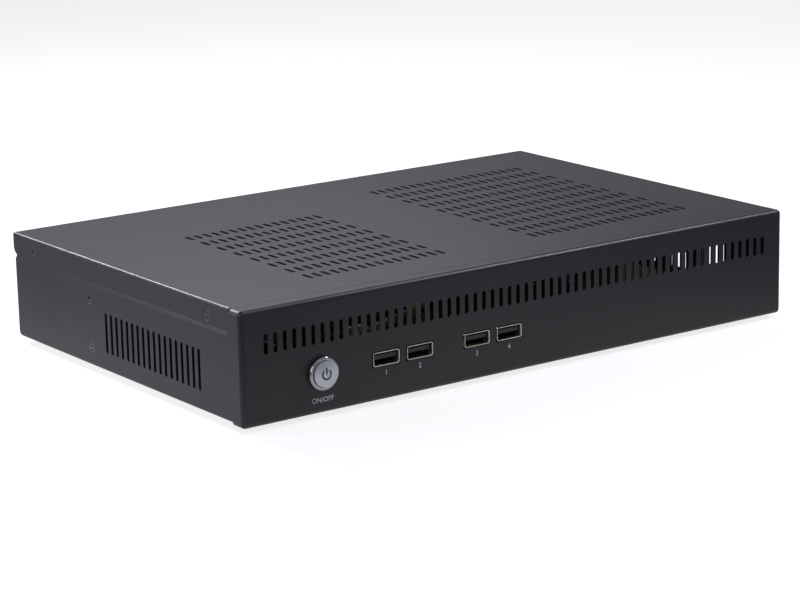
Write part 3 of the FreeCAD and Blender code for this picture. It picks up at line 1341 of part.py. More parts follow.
def rear_usb_insulators():
    insulators = []
    for x in REAR_USB_PORTS:
        for z in rear_usb_levels():
            insulator = usb_insulator(0, z, 0, REAR_USB_DEPTH)
            insulators.append(turned_round(insulator, x, PORT_REAR))
    return insulators


def audio_level():
    return BOARD_TOP + AUDIO_SIZE[2] / 2


def audio_jack():
    x, z = PORTS["audio"], audio_level()
    front = SHIELD_INSIDE - PORT_GAP
    block = port_block(PORTS["audio"], AUDIO_SIZE, rear=front)
    collar = cylinder(AUDIO_COLLAR, (x, front - 1, z), (0, 1, 0), PORT_REAR - front + 1)
    bore = cylinder(AUDIO_BORE, (x, PORT_REAR - AUDIO_SIZE[1], z), (0, 1, 0), AUDIO_SIZE[1] + 1)
    return fused([block, collar]).cut(bore)


def plug_places():
    return [(from_left - WIDTH / 2, PLUG_LEVEL) for from_left in PLUGS_FROM_LEFT]


def antenna_hole_plugs():
    """Push-in plugs closing the two unused aerial holes."""
    plugs = []
    for x, z in plug_places():
        head = cylinder(PLUG_HEAD_RADIUS, (x, TRAY_REAR, z), (0, 1, 0), PLUG_HEAD)
        stem = cylinder(PLUG_RADIUS, (x, TRAY_REAR - SHEET - 2, z), (0, 1, 0), SHEET + 2)
        plugs.append(fused([head, stem]))
    return plugs


# ================================================================ all pieces
PIECES = {
    "front_bezel": front_bezel,
    "base_tray": base_tray,
    "top_cover": top_cover,
    "cover_screws": cover_screws,
    "side_screws": side_screws,
    "bezel_screws": bezel_screws,
    "rubber_feet": rubber_feet,
    "power_button_housing": power_button_housing,
    "power_button_cap": power_button_cap,
    "power_button_nut": power_button_nut,
    "power_button_switch": power_button_switch,
    "power_button_terminals": power_button_terminals,
    "power_button_plug": power_button_plug,
    "power_button_lead": power_button_lead,
    "lead_tie": lead_tie,
    "front_usb_shells": front_usb_shells,
    "front_usb_insulators": front_usb_insulators,
    "front_usb_boards": front_usb_boards,
    "usb_board_pillars": usb_board_pillars,
    "usb_board_screws": usb_board_screws,
    "front_usb_cables": front_usb_cables,
    "motherboard": motherboard,
    "board_standoffs": board_standoffs,
    "board_screws": board_screws,
    "processor": processor,
    "thermal_pad": thermal_pad,
    "heatsink": heatsink,
    "heatsink_backplate": heatsink_backplate,
    "heatsink_screws": heatsink_screws,
    "memory_socket": memory_socket,
    "memory_module": memory_module,
    "coin_cell_holder": coin_cell_holder,
    "coin_cell": coin_cell,
    "power_chokes": power_chokes,
    "capacitors": capacitors,
    "board_headers": board_headers,
    "header_plugs": header_plugs,
    "drive_bracket": drive_bracket,
    "bracket_screws": bracket_screws,
    "solid_state_drive": solid_state_drive,
    "drive_screws": drive_screws,
    "drive_plug": drive_plug,
    "drive_cable": drive_cable,
    "io_shield": io_shield,
    "dc_jack": dc_jack,
    "dc_jack_pin": dc_jack_pin,
    "hdmi_shell": hdmi_shell,
    "hdmi_insulator": hdmi_insulator,
    "vga_shell": vga_shell,
    "vga_insulator": vga_insulator,
    "vga_screws": vga_screws,
    "lan_shells": lan_shells,
    "lan_inserts": lan_inserts,
    "lan_contacts": lan_contacts,
    "rear_usb_shells": rear_usb_shells,
    "rear_usb_insulators": rear_usb_insulators,
    "audio_jack": audio_jack,
    "antenna_hole_plugs": antenna_hole_plugs,
}


def placed(shape):
    """Move a finished piece so that the origin is on the standing surface, midway between front and rear."""
    shape.translate(Vector(0, -MIDDLE, STAND))
    return shape


os.makedirs("parts", exist_ok=True)
for name, build in PIECES.items():
    made = build()
    shape = Part.makeCompound(made) if isinstance(made, list) else made
    placed(shape).exportStep(f"parts/{name}.step")
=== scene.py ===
"""Fanless industrial PC: finishes, screws, printing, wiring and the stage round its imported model."""

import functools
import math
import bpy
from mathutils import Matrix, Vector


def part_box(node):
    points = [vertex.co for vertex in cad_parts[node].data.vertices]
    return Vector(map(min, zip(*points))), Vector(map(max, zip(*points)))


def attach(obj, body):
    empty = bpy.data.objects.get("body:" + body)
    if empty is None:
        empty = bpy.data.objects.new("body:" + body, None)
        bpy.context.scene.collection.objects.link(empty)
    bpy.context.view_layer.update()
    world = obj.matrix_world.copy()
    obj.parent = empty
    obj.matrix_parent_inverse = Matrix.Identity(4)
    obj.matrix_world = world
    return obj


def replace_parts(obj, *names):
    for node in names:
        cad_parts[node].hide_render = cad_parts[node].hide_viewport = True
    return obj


bl_info = {
    "name": "Fanless industrial PC",
    "version": (1, 0, 0),
    "blender": (4, 5, 0),
    "location": "View3D > Sidebar > Industrial PC",
    "description": "Finishes, screws, printing, wiring and stage of a slotted steel box computer",
    "category": "Object",
}

import bmesh
import bpy
from bpy.props import FloatProperty, FloatVectorProperty, PointerProperty, StringProperty
from mathutils import Matrix, Vector

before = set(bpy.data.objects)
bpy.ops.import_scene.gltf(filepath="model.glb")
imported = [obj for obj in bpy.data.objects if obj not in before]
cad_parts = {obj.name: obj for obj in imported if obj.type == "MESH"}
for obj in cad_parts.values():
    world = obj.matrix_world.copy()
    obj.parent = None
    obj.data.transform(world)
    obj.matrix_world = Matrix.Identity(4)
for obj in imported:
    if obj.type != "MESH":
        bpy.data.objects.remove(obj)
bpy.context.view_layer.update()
MM = 0.001


# ------------------------------------------------------------------ colour, nodes and meshes
def linear(code):
    """Linear colour of an sRGB hex code such as "#2B2B2F"."""
    parts = [int(code[i : i + 2], 16) / 255 for i in (1, 3, 5)]
    return tuple(p / 12.92 if p <= 0.04045 else ((p + 0.055) / 1.055) ** 2.4 for p in parts)


def rgba(colour):
    """A colour as a shader's colour socket takes it."""
    return (*tuple(colour)[:3], 1.0)


def add(tree, kind, settings=None, links=None):
    """Add a shader node with its properties and inputs set, its inputs linked from (node, output) pairs."""
    node = tree.nodes.new("ShaderNode" + kind)
    for name, value in (settings or {}).items():
        if isinstance(name, int) or name in node.inputs:
            node.inputs[name].default_value = value
        else:
            setattr(node, name, value)
    for name, (source, output) in (links or {}).items():
        tree.links.new(source.outputs[output], node.inputs[name])
    return node


def finish(name, colour, roughness, metallic=0.0, ior=1.5, **more):
    """Material of one plain finish. Returns the material, its node tree, its shader and its coordinates."""
    material = bpy.data.materials.new(name)
    material.use_nodes = True
    tree = material.node_tree
    tree.nodes.clear()
    settings = {"Base Color": rgba(colour), "Roughness": roughness, "Metallic": metallic, "IOR": ior}
    shader = add(tree, "BsdfPrincipled", {**settings, **more})
    add(tree, "OutputMaterial", links={"Surface": (shader, "BSDF")})
    return material, tree, shader, add(tree, "TexCoord")


def grained(tree, shader, place, size_mm, height_mm, detail=2.0, before=None):
    """Raise a random grain of the given size and height on a finish."""
    settings = {"Scale": 1 / (size_mm * MM), "Detail": detail, "Roughness": 0.55}
    noise = add(tree, "TexNoise", settings, {"Vector": (place, "Object")})
    links = {"Height": (noise, "Fac")}
    if before:
        links["Normal"] = (before, "Normal")
    bump = add(tree, "Bump", {"Strength": 1.0, "Distance": height_mm * MM}, links)
    tree.links.new(bump.outputs["Normal"], shader.inputs["Normal"])
    return bump


def drift(tree, place, size_mm, detail, low, high):
    """Random patches of the given size that run from a low to a high value."""
    settings = {"Scale": 1 / (size_mm * MM), "Detail": detail}
    noise = add(tree, "TexNoise", settings, {"Vector": (place, "Object")})
    limits = {"From Min": 0.3, "From Max": 0.7, "To Min": low, "To Max": high}
    return add(tree, "MapRange", limits, {"Value": (noise, "Fac")})


def varied(tree, shader, place, dark, light, size_mm, detail=3.0):
    """Let a finish drift between two colours over patches of the given size."""
    spread = drift(tree, place, size_mm, detail, 0.0, 1.0)
    mix = add(tree, "Mix", {"data_type": "RGBA", 6: rgba(dark), 7: rgba(light)}, {0: (spread, "Result")})
    tree.links.new(mix.outputs[2], shader.inputs["Base Color"])


def dulled(tree, shader, place, low, high, size_mm):
    """Let a finish's roughness drift between two values over patches of the given size."""
    spread = drift(tree, place, size_mm, 4.0, low, high)
    tree.links.new(spread.outputs["Result"], shader.inputs["Roughness"])


def shade(colour, factor):
    """A lighter or darker tone of a colour."""
    return tuple(c * factor for c in tuple(colour)[:3])


def piece(name, mesh, material, body="computer", smooth=35.0):
    """Link a mesh as a piece of the object that rides on a body, with one material."""
    mesh.materials.clear()
    mesh.materials.append(material)
    made = bpy.data.objects.new(name, mesh)
    bpy.context.scene.collection.objects.link(made)
    for polygon in mesh.polygons:
        polygon.use_smooth = True
    mesh.set_sharp_from_angle(angle=math.radians(smooth))
    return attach(made, body)


def mesh_of(name, build):
    """New mesh filled by a function that works on a bmesh."""
    work = bmesh.new()
    build(work)
    bmesh.ops.recalc_face_normals(work, faces=work.faces)
    mesh = bpy.data.meshes.new(name)
    work.to_mesh(mesh)
    work.free()
    return mesh


def solids(node):
    """Lowest and highest corner of each separate solid of a CAD node."""
    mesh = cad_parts[node].data
    keys, parent = {}, {}

    def root(key):
        while parent[key] != key:
            parent[key] = parent[parent[key]]
            key = parent[key]
        return key

    for vertex in mesh.vertices:
        key = tuple(round(c, 6) for c in vertex.co)
        keys[vertex.index] = key
        parent.setdefault(key, key)
    for polygon in mesh.polygons:
        first, *rest = polygon.vertices
        for other in rest:
            parent[root(keys[other])] = root(keys[first])
    groups = {}
    for key in parent:
        groups.setdefault(root(key), []).append(key)
    boxes = [(Vector(map(min, *g)), Vector(map(max, *g))) for g in groups.values()]
    return sorted(boxes, key=lambda b: (round(b[0].x, 4), round(b[0].y, 4), round(b[0].z, 4)))


def middle_of(low, high):
    """Middle of a box given by its corners."""
    return (low + high) / 2


def coat(material, *nodes):
    """Give CAD nodes a material."""
    for node in nodes:
        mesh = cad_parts[node].data
        mesh.materials.clear()
        mesh.materials.append(material)


# ------------------------------------------------------------------ finishes
def powder_coated_steel(look):
    """Polyester powder coat baked on sheet steel: an even black, a soft gloss and a fine pebbled grain."""
    colour, roughness = look.coat_colour, look.coat_roughness
    material, tree, shader, place = finish("powder_coated_steel", colour, roughness)
    # the coat melts to a slightly uneven thickness, so its black and its gloss drift slowly
    varied(tree, shader, place, shade(colour, 0.92), shade(colour, 1.1), 40.0)
    dulled(tree, shader, place, roughness - 0.03, roughness + 0.04, 25.0)
    # the real grain is about 0.2 mm and is drawn at the grain size set, as fine as the render can show
    height_mm = look.grain_height / MM
    fine = grained(tree, shader, place, look.grain_size / MM, height_mm)
    grained(tree, shader, place, 3.5, height_mm * 0.8, detail=1.0, before=fine)
    return material


def black_oxide_steel():
    """Black oxide on steel screws: a dark skin that still has some metal shine on its edges."""
    material, tree, shader, place = finish("black_oxide_steel", linear("#4C4D52"), 0.27, metallic=1.0)
    varied(tree, shader, place, linear("#3C3D42"), linear("#626368"), 1.2)
    grained(tree, shader, place, 0.3, 0.004)
    return material


def moulded_rubber():
    """Moulded rubber: a dull charcoal that scatters light with hardly any gloss."""
    material, tree, shader, place = finish("moulded_rubber", linear("#1E1E1F"), 0.78, ior=1.52)
    varied(tree, shader, place, linear("#191919"), linear("#262627"), 4.0)
    grained(tree, shader, place, 0.5, 0.02)
    return material


def polished_chrome():
    """Chrome plated and polished brass: a mirror that shows the panel and the studio round it."""
    material, tree, shader, place = finish("polished_chrome", linear("#9B9CA2"), 0.07, metallic=1.0)
    # polishing leaves hair-fine marks that vary the gloss
    dulled(tree, shader, place, 0.04, 0.13, 1.5)
    grained(tree, shader, place, 2.2, 0.01, detail=1.0)
    return material


def satin_anodised_aluminium(look):
    """Turned, blasted and anodised aluminium: pale grey with a soft, even sheen."""
    material, tree, shader, place = finish("satin_anodised_aluminium", look.cap_colour, 0.34, metallic=0.75)
    varied(tree, shader, place, shade(look.cap_colour, 0.93), shade(look.cap_colour, 1.05), 3.0)
    # blasting leaves craters of about 0.1 mm
    grained(tree, shader, place, 0.15, 0.003)
    return material


@functools.cache
def nickel_plated_steel():
    """Nickel plating on stamped steel: a slightly yellow, soft mirror."""
    material, tree, shader, place = finish("nickel_plated_steel", linear("#C9C3B6"), 0.24, metallic=1.0)
    varied(tree, shader, place, linear("#B5AE9F"), linear("#D6D1C6"), 5.0)
    dulled(tree, shader, place, 0.18, 0.32, 2.0)
    grained(tree, shader, place, 0.4, 0.002)
    return material


def galvanised_steel():
    """Hot-dip galvanised sheet: pale zinc in crystals a few millimetres wide."""
    material, tree, shader, place = finish("galvanised_steel", linear("#A9ACAE"), 0.4, metallic=1.0)
    cells = add(tree, "TexVoronoi", {"Scale": 1 / (6 * MM)}, {"Vector": (place, "Object")})
    tones = {"data_type": "RGBA", 6: rgba(linear("#96999B")), 7: rgba(linear("#BFC2C4"))}
    mix = add(tree, "Mix", tones, {0: (cells, "Color")})
    tree.links.new(mix.outputs[2], shader.inputs["Base Color"])
    grained(tree, shader, place, 1.0, 0.004)
    return material


def stainless_steel():
    """Rolled stainless sheet: a grey metal whose fine rolling lines stretch its gloss."""
    material, tree, shader, place = finish("stainless_steel", linear("#B4B5B6"), 0.3, metallic=1.0)
    lines = add(tree, "Mapping", {"Scale": (0.05, 1.0, 1.0)}, {"Vector": (place, "Object")})
    noise = add(tree, "TexNoise", {"Scale": 1 / (0.3 * MM), "Detail": 2.0}, {"Vector": (lines, "Vector")})
    spread = add(tree, "MapRange", {"To Min": 0.24, "To Max": 0.4}, {"Value": (noise, "Fac")})
    tree.links.new(spread.outputs["Result"], shader.inputs["Roughness"])
    grained(tree, shader, place, 0.4, 0.002)
    return material


def turned_brass():
    """Turned brass: yellow metal with a soft shine."""
    material, tree, shader, place = finish("turned_brass", linear("#C9A45C"), 0.28, metallic=1.0)
    varied(tree, shader, place, linear("#B58F49"), linear("#D8B774"), 2.0)
    grained(tree, shader, place, 0.3, 0.003)
    return material


@functools.cache
def gold_plating():
    """Thin gold on contact springs: deep yellow and bright."""
    material, tree, shader, place = finish("gold_plating", linear("#E3B65A"), 0.2, metallic=1.0)
    varied(tree, shader, place, linear("#D2A24A"), linear("#EDC672"), 1.0)
    return material


def moulded_plastic(name, colour, roughness, patch, texture):
    """Glass-filled nylon or ABS from a spark-eroded mould: even colour, low gloss, a fine matt texture."""
    material, tree, shader, place = finish(name, colour, roughness, ior=1.53)
    varied(tree, shader, place, shade(colour, 0.9), shade(colour, 1.1), patch)
    grained(tree, shader, place, texture, 0.01)
    return material


def extruded_sheath():
    """Extruded PVC: smooth and dark with a faint waviness along the cable."""
    material, tree, shader, place = finish("extruded_sheath", linear("#1C1C1E"), 0.42, ior=1.53)
    varied(tree, shader, place, linear("#171718"), linear("#242427"), 6.0)
    grained(tree, shader, place, 1.5, 0.02)
    return material


def wire_insulation(name, colour):
    """Thin PVC insulation: saturated colour with a soft gloss."""
    material, tree, shader, place = finish(name, colour, 0.38, ior=1.53)
    varied(tree, shader, place, shade(colour, 0.85), shade(colour, 1.1), 3.0)
    grained(tree, shader, place, 0.8, 0.01)
    return material


def solder_mask(name, colour, trace_colour):
    """Epoxy solder mask over etched copper: glossy, with the copper tracks showing as a lighter tone."""
    material, tree, shader, place = finish(name, colour, 0.3, ior=1.55)
    # tracks are about 0.2 mm wide and run 0.8 mm apart, in straight stretches of 9 mm
    layout = {
        "Color1": rgba(colour),
        "Color2": rgba(shade(colour, 0.8)),
        "Mortar": rgba(trace_colour),
        "Scale": 1.0,
        "Mortar Size": 0.12 * MM,
        "Brick Width": 9 * MM,
        "Row Height": 0.8 * MM,
    }
    tracks = add(tree, "TexBrick", layout, {"Vector": (place, "Object")})
    patches = add(tree, "TexNoise", {"Scale": 1 / (14 * MM)}, {"Vector": (place, "Object")})
    there = add(tree, "MapRange", {"From Min": 0.45, "From Max": 0.55}, {"Value": (patches, "Fac")})
    bare = {"data_type": "RGBA", 6: rgba(colour)}
    mix = add(tree, "Mix", bare, {0: (there, "Result"), 7: (tracks, "Color")})
    tree.links.new(mix.outputs[2], shader.inputs["Base Color"])
    bump = add(tree, "Bump", {"Distance": 0.03 * MM}, {"Height": (tracks, "Fac")})
    tree.links.new(bump.outputs["Normal"], shader.inputs["Normal"])
    return material


def black_anodised_aluminium():
    """Extruded aluminium, anodised black: a dark metal grey with lines along the extrusion."""
    material, tree, shader, place = finish("black_anodised_aluminium", linear("#232326"), 0.4, metallic=0.7)
    stretched = add(tree, "Mapping", {"Scale": (1.0, 0.04, 1.0)}, {"Vector": (place, "Object")})
    noise = add(tree, "TexNoise", {"Scale": 1 / (0.5 * MM)}, {"Vector": (stretched, "Vector")})
    bump = add(tree, "Bump", {"Distance": 0.01 * MM}, {"Height": (noise, "Fac")})
    tree.links.new(bump.outputs["Normal"], shader.inputs["Normal"])
    return material


def packaged_silicon():
    """Green substrate with a bare die: dark and slightly glossy."""
    material, tree, shader, place = finish("packaged_silicon", linear("#2C3A36"), 0.3, ior=1.55)
    varied(tree, shader, place, linear("#24302D"), linear("#34453F"), 2.0)
    return material


def thermal_silicone():
    """Filled silicone pad: pale grey, soft and matt."""
    material, tree, shader, place = finish("thermal_silicone", linear("#8E9499"), 0.8, ior=1.43)
    varied(tree, shader, place, linear("#858B90"), linear("#979DA2"), 1.5)
    grained(tree, shader, place, 0.4, 0.02)
    return material


def sintered_ferrite():
    """Pressed ferrite powder: dark grey, dull and sandy."""
    material, tree, shader, place = finish("sintered_ferrite", linear("#3B3C3E"), 0.6, ior=1.6)
    varied(tree, shader, place, linear("#303133"), linear("#47484A"), 0.8)
    grained(tree, shader, place, 0.3, 0.02)
    return material


def drawn_aluminium_can():
    """Drawn aluminium can of a capacitor: pale, soft metal."""
    material, tree, shader, place = finish("drawn_aluminium_can", linear("#B9BBBD"), 0.32, metallic=1.0)
    varied(tree, shader, place, linear("#A9ABAD"), linear("#C6C8CA"), 2.0)
    grained(tree, shader, place, 0.5, 0.004)
    return material


def painted_drive_case():
    """Die-cast drive case painted dark grey: smooth and semi-matt."""
    material, tree, shader, place = finish("painted_drive_case", linear("#35363A"), 0.45)
    varied(tree, shader, place, linear("#303135"), linear("#3B3C41"), 12.0)
    grained(tree, shader, place, 0.4, 0.01)
    return material


def printed_ink(name, colour):
    """Screen-printed epoxy ink: a matt film a few hundredths of a millimetre thick."""
    material, tree, shader, place = finish(name, colour, 0.6)
    varied(tree, shader, place, shade(colour, 0.88), colour, 0.8)
    grained(tree, shader, place, 0.25, 0.006)
    return material


# ------------------------------------------------------------------ settings that a user would change
class ChassisSettings(bpy.types.PropertyGroup):
    """Powder coat of the chassis, and what the cover and the tray have over their CAD pieces"""

    coat_colour: FloatVectorProperty(
        name="Coat", description="Colour of the powder coat",
        subtype="COLOR", default=linear("#15161A"), min=0, max=1,
    )
    coat_roughness: FloatProperty(
        name="Roughness", description="Roughness of the powder coat",
        default=0.42, min=0.05, max=1,
    )
    grain_size: FloatProperty(
        name="Grain size", description="Width of the coat's grain",
        subtype="DISTANCE", unit="LENGTH", default=0.45 * MM, min=0.05 * MM,
    )
    grain_height: FloatProperty(
        name="Grain height", description="Height of the coat's grain",
        subtype="DISTANCE", unit="LENGTH", default=0.006 * MM, min=0,
    )
    slot_shortening: FloatProperty(
        name="Slots", description="How much shorter the cover's slots are than in the model",
        subtype="DISTANCE", unit="LENGTH", default=2.0 * MM,
    )
    shoulder_drop: FloatProperty(
        name="Shoulder", description="How much taller the step below the cover is",
        subtype="DISTANCE", unit="LENGTH", default=0.7 * MM,
    )


class ScrewSettings(bpy.types.PropertyGroup):
    """Cross recess of the black screws"""

    recess_reach: FloatProperty(
        name="Recess", description="Length of the cross recess over the head",
        subtype="DISTANCE", unit="LENGTH", default=2.9 * MM,
    )
    recess_width: FloatProperty(
        name="Wing", description="Width of one wing of the recess",
        subtype="DISTANCE", unit="LENGTH", default=0.62 * MM,
    )
    recess_depth: FloatProperty(
        name="Depth", description="Depth of the recess",
        subtype="DISTANCE", unit="LENGTH", default=0.95 * MM,
    )


class ButtonSettings(bpy.types.PropertyGroup):
    """Cap of the power button and the symbol on it"""

    cap_colour: FloatVectorProperty(
        name="Cap", description="Colour of the anodised cap",
        subtype="COLOR", default=linear("#C4C5CC"), min=0, max=1,
    )
    symbol_colour: FloatVectorProperty(
        name="Symbol", description="Colour of the engraved standby symbol",
        subtype="COLOR", default=linear("#3F4046"), min=0, max=1,
    )
    symbol_radius: FloatProperty(
        name="Symbol radius", description="Radius of the open ring",
        subtype="DISTANCE", unit="LENGTH", default=2.05 * MM,
    )
    symbol_line: FloatProperty(
        name="Line", description="Width of the symbol's lines",
        subtype="DISTANCE", unit="LENGTH", default=0.8 * MM,
    )


class PrintSettings(bpy.types.PropertyGroup):
    """Printing on the front"""

    ink_colour: FloatVectorProperty(
        name="Ink", description="Colour of the printing",
        subtype="COLOR", default=linear("#D5D6DA"), min=0, max=1,
    )
    letter_height: FloatProperty(
        name="Height", description="Height of the printed figures",
        subtype="DISTANCE", unit="LENGTH", default=2.2 * MM,
    )
    socket_drop: FloatProperty(
        name="Below sockets", description="From a socket's middle down to its number",
        subtype="DISTANCE", unit="LENGTH", default=6.3 * MM,
    )
    switch_drop: FloatProperty(
        name="Below button", description="From the button's middle down to its print",
        subtype="DISTANCE", unit="LENGTH", default=11.5 * MM,
    )
    switch_print: StringProperty(
        name="Button print", description="What is printed below the button",
        default="ON/OFF",
    )


class WiringSettings(bpy.types.PropertyGroup):
    """Loose wires behind the front slots"""

    wire_radius: FloatProperty(
        name="Wire", description="Radius of one insulated wire",
        subtype="DISTANCE", unit="LENGTH", default=0.7 * MM,
    )
    twist_pitch: FloatProperty(
        name="Twist", description="Length over which the wires turn once round each other",
        subtype="DISTANCE", unit="LENGTH", default=75 * MM,
    )
    upper_colour: FloatVectorProperty(
        name="Upper wire", description="Colour of the yellow wire",
        subtype="COLOR", default=linear("#F5CE5A"), min=0, max=1,
    )
    lower_colour: FloatVectorProperty(
        name="Lower wire", description="Colour of the orange wire",
        subtype="COLOR", default=linear("#E9AA3C"), min=0, max=1,
    )


class StageSettings(bpy.types.PropertyGroup):
    """Lamps, floor and camera"""

    lamp_colour: FloatVectorProperty(
        name="Lamps", description="Colour of the lamps",
        subtype="COLOR", default=(0.94, 0.965, 1.11), min=0, max=2,
    )
    floor_colour: FloatVectorProperty(
        name="Floor", description="Colour of the studio floor",
        subtype="COLOR", default=linear("#97989A"), min=0, max=1,
    )
    camera_place: FloatVectorProperty(
        name="Camera", description="Place of the camera",
        subtype="TRANSLATION", unit="LENGTH", default=(-0.70623, -0.99598, 0.31959),
    )
    camera_turn: FloatVectorProperty(
        name="Turn", description="Turn of the camera",
        subtype="EULER",
        unit="ROTATION",
        default=[math.radians(angle) for angle in (75.8379, 0.9821, -36.6383)],
    )
    focal_length: FloatProperty(
        name="Lens (mm)", description="Focal length of the lens",
        default=120.968, min=10,
    )


# ------------------------------------------------------------------ pieces
FIRST_SLOT_ROW = -63.9 * MM  # middle of the cover's front row of slots
SLOT_ROW_PITCH = 13.77 * MM
SLOT_ROWS = 10
SLOT_ENDS = (2.85 * MM, 4.95 * MM)  # a slot's round ends lie this far from its middle
COVER_MARGIN = 10 * MM  # along the cover's sides, where it has no slots
SHOULDER_FOLD = (40.15 * MM, 41.12 * MM)  # heights between which the tray's outer fold lies
SHOULDER_INSET = 2 * MM  # from the tray's side, within which its shoulder lies


def reshaped(node, name, material, move):
    """Copy of a CAD piece with some of its points moved, which stands in for it."""
    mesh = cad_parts[node].data.copy()
    for vertex in mesh.vertices:
        vertex.co = move(vertex.co.copy())
    mesh.materials.clear()
    mesh.materials.append(material)
    made = bpy.data.objects.new(name, mesh)
    bpy.context.scene.collection.objects.link(made)
    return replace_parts(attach(made, "computer"), node)


class PC_OT_chassis(bpy.types.Operator):
    """Powder coat on the folded bezel, on the cover with its slots and on the tray with its shoulder"""

    bl_idname = "industrial_pc.chassis"
    bl_label = "Coat the chassis"

    def execute(self, context):
        settings = context.scene.pc_chassis
        material = powder_coated_steel(settings)
        coat(material, "front_bezel")
        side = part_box("top_cover")[1].x

        def shorter_slots(point):
            """Draw the round ends of the cover's slots in towards their middles."""
            row = round((point.y - FIRST_SLOT_ROW) / SLOT_ROW_PITCH)
            along = point.y - FIRST_SLOT_ROW - row * SLOT_ROW_PITCH
            slotted = abs(point.x) < side - COVER_MARGIN and 0 <= row < SLOT_ROWS
            if slotted and SLOT_ENDS[0] < abs(along) < SLOT_ENDS[1]:
                point.y -= math.copysign(settings.slot_shortening / 2, along)
            return point

        def taller_shoulder(point):
            """Lower the outer fold of the step below the cover's edge."""
            low, high = SHOULDER_FOLD
            if abs(point.x) > side - SHOULDER_INSET and low < point.z < high:
                point.z -= settings.shoulder_drop
            return point

        reshaped("top_cover", "top_cover_slotted", material, shorter_slots)
        reshaped("base_tray", "base_tray_shouldered", material, taller_shoulder)
        return {"FINISHED"}


SCREW_HEAD_HEIGHT = 1.3 * MM
SCREW_SHANK = 1.5 * MM  # radius of an M3 thread
SCREW_RIM = 0.12 * MM  # broken edge of the head
RECESS_TOP = (0.2 * MM, 1.06)  # height over the head of the recess's wide end, and its scale there
RECESS_TAPER = 0.45  # scale of the recess at its bottom
FIRST_TURN, NEXT_TURN = 0.4, 1.1  # radians: screws stop at different angles


def cross_screw(name, head_radius, length, settings):
    """Countersunk screw along -Z with its flat head at the origin and a tapered cross recess."""
    profile = [
        (0, 0),
        (head_radius - SCREW_RIM, 0),
        (head_radius, -SCREW_RIM),
        (SCREW_SHANK, -SCREW_HEAD_HEIGHT),
        (SCREW_SHANK, -length),
        (0, -length),
    ]

    def turn(work):
        points = [work.verts.new((x, 0, z)) for x, z in profile]
        edges = [work.edges.new(pair) for pair in zip(points, points[1:])]
        bmesh.ops.spin(work, geom=points + edges, axis=(0, 0, 1), cent=(0, 0, 0), steps=32, angle=math.tau)
        bmesh.ops.remove_doubles(work, verts=work.verts, dist=1e-6)

    def cross(work):
        reach, wing = settings.recess_reach / 2, settings.recess_width / 2
        corners = []
        for quarter in range(4):
            turned = Matrix.Rotation(quarter * math.pi / 2, 3, "Z")
            corners += [turned @ Vector(p) for p in ((reach, -wing, 0), (reach, wing, 0), (wing, wing, 0))]
        levels = (RECESS_TOP, (-settings.recess_depth, RECESS_TAPER))
        rings = [[work.verts.new((c.x * s, c.y * s, z)) for c in corners] for z, s in levels]
        work.faces.new(rings[0])
        work.faces.new(list(reversed(rings[1])))
        for i in range(len(corners)):
            j = (i + 1) % len(corners)
            work.faces.new((rings[0][j], rings[0][i], rings[1][i], rings[1][j]))

    head = bpy.data.objects.new(name + "_blank", mesh_of(name + "_blank", turn))
    cutter = bpy.data.objects.new(name + "_cutter", mesh_of(name + "_cutter", cross))
    for made in (head, cutter):
        bpy.context.scene.collection.objects.link(made)
    cut = head.modifiers.new("recess", "BOOLEAN")
    cut.object, cut.operation, cut.solver = cutter, "DIFFERENCE", "EXACT"
    bpy.context.view_layer.update()
    mesh = bpy.data.meshes.new_from_object(head.evaluated_get(bpy.context.evaluated_depsgraph_get()))
    for made in (head, cutter):
        bpy.data.objects.remove(made)
    return mesh


def joined(name, mesh, places):
    """One mesh of copies of a mesh at the given matrices."""

    def build(work):
        for place in places:
            copy = mesh.copy()
            copy.transform(place)
            work.from_mesh(copy)
            bpy.data.meshes.remove(copy)

    return mesh_of(name, build)


class PC_OT_screws(bpy.types.Operator):
    """Black countersunk screws with a cross recess, in place of the plain ones"""

    bl_idname = "industrial_pc.screws"
    bl_label = "Fit the screws"

    def execute(self, context):
        settings = context.scene.pc_screws
        material = black_oxide_steel()
        low, high = solids("side_screws")[0]
        screw = cross_screw("screw", (high.y - low.y) / 2, high.x - low.x, settings)
        for node in ("cover_screws", "side_screws", "bezel_screws"):
            places = []
            for i, (low, high) in enumerate(solids(node)):
                middle = middle_of(low, high)
                if node == "bezel_screws":
                    face, outward = Vector((middle.x, middle.y, low.z)), Vector((0, 0, -1))
                else:
                    side = math.copysign(1, middle.x)
                    face = Vector((high.x if side > 0 else low.x, middle.y, middle.z))
                    outward = Vector((side, 0, 0))
                turned = outward.to_track_quat("Z", "Y").to_matrix().to_4x4()
                stop = Matrix.Rotation(FIRST_TURN + NEXT_TURN * i, 4, "Z")
                places.append(Matrix.Translation(face) @ turned @ stop)
            made = piece(node + "_cross_recessed", joined(node, screw, places), material)
            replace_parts(made, node)
        steel = stainless_steel()
        coat(steel, "usb_board_screws", "board_screws", "heatsink_screws", "bracket_screws")
        coat(steel, "drive_screws", "coin_cell", "io_shield")
        return {"FINISHED"}


class PC_OT_feet(bpy.types.Operator):
    """Rubber feet"""

    bl_idname = "industrial_pc.feet"
    bl_label = "Finish the feet"

    def execute(self, context):
        coat(moulded_rubber(), "rubber_feet")
        return {"FINISHED"}


CAP_DOME = 0.6 * MM  # rise of the cap's face
FILL_LIFT = 0.02 * MM  # the filled symbol stands this far in front of the cap
SYMBOL_GAP = math.radians(38)  # half the opening of the ring
SYMBOL_STEPS = 48
BAR_SPAN = (0.08, 1.4)  # ends of the symbol's bar, as shares of the ring's radius
BAR_STEPS = 8


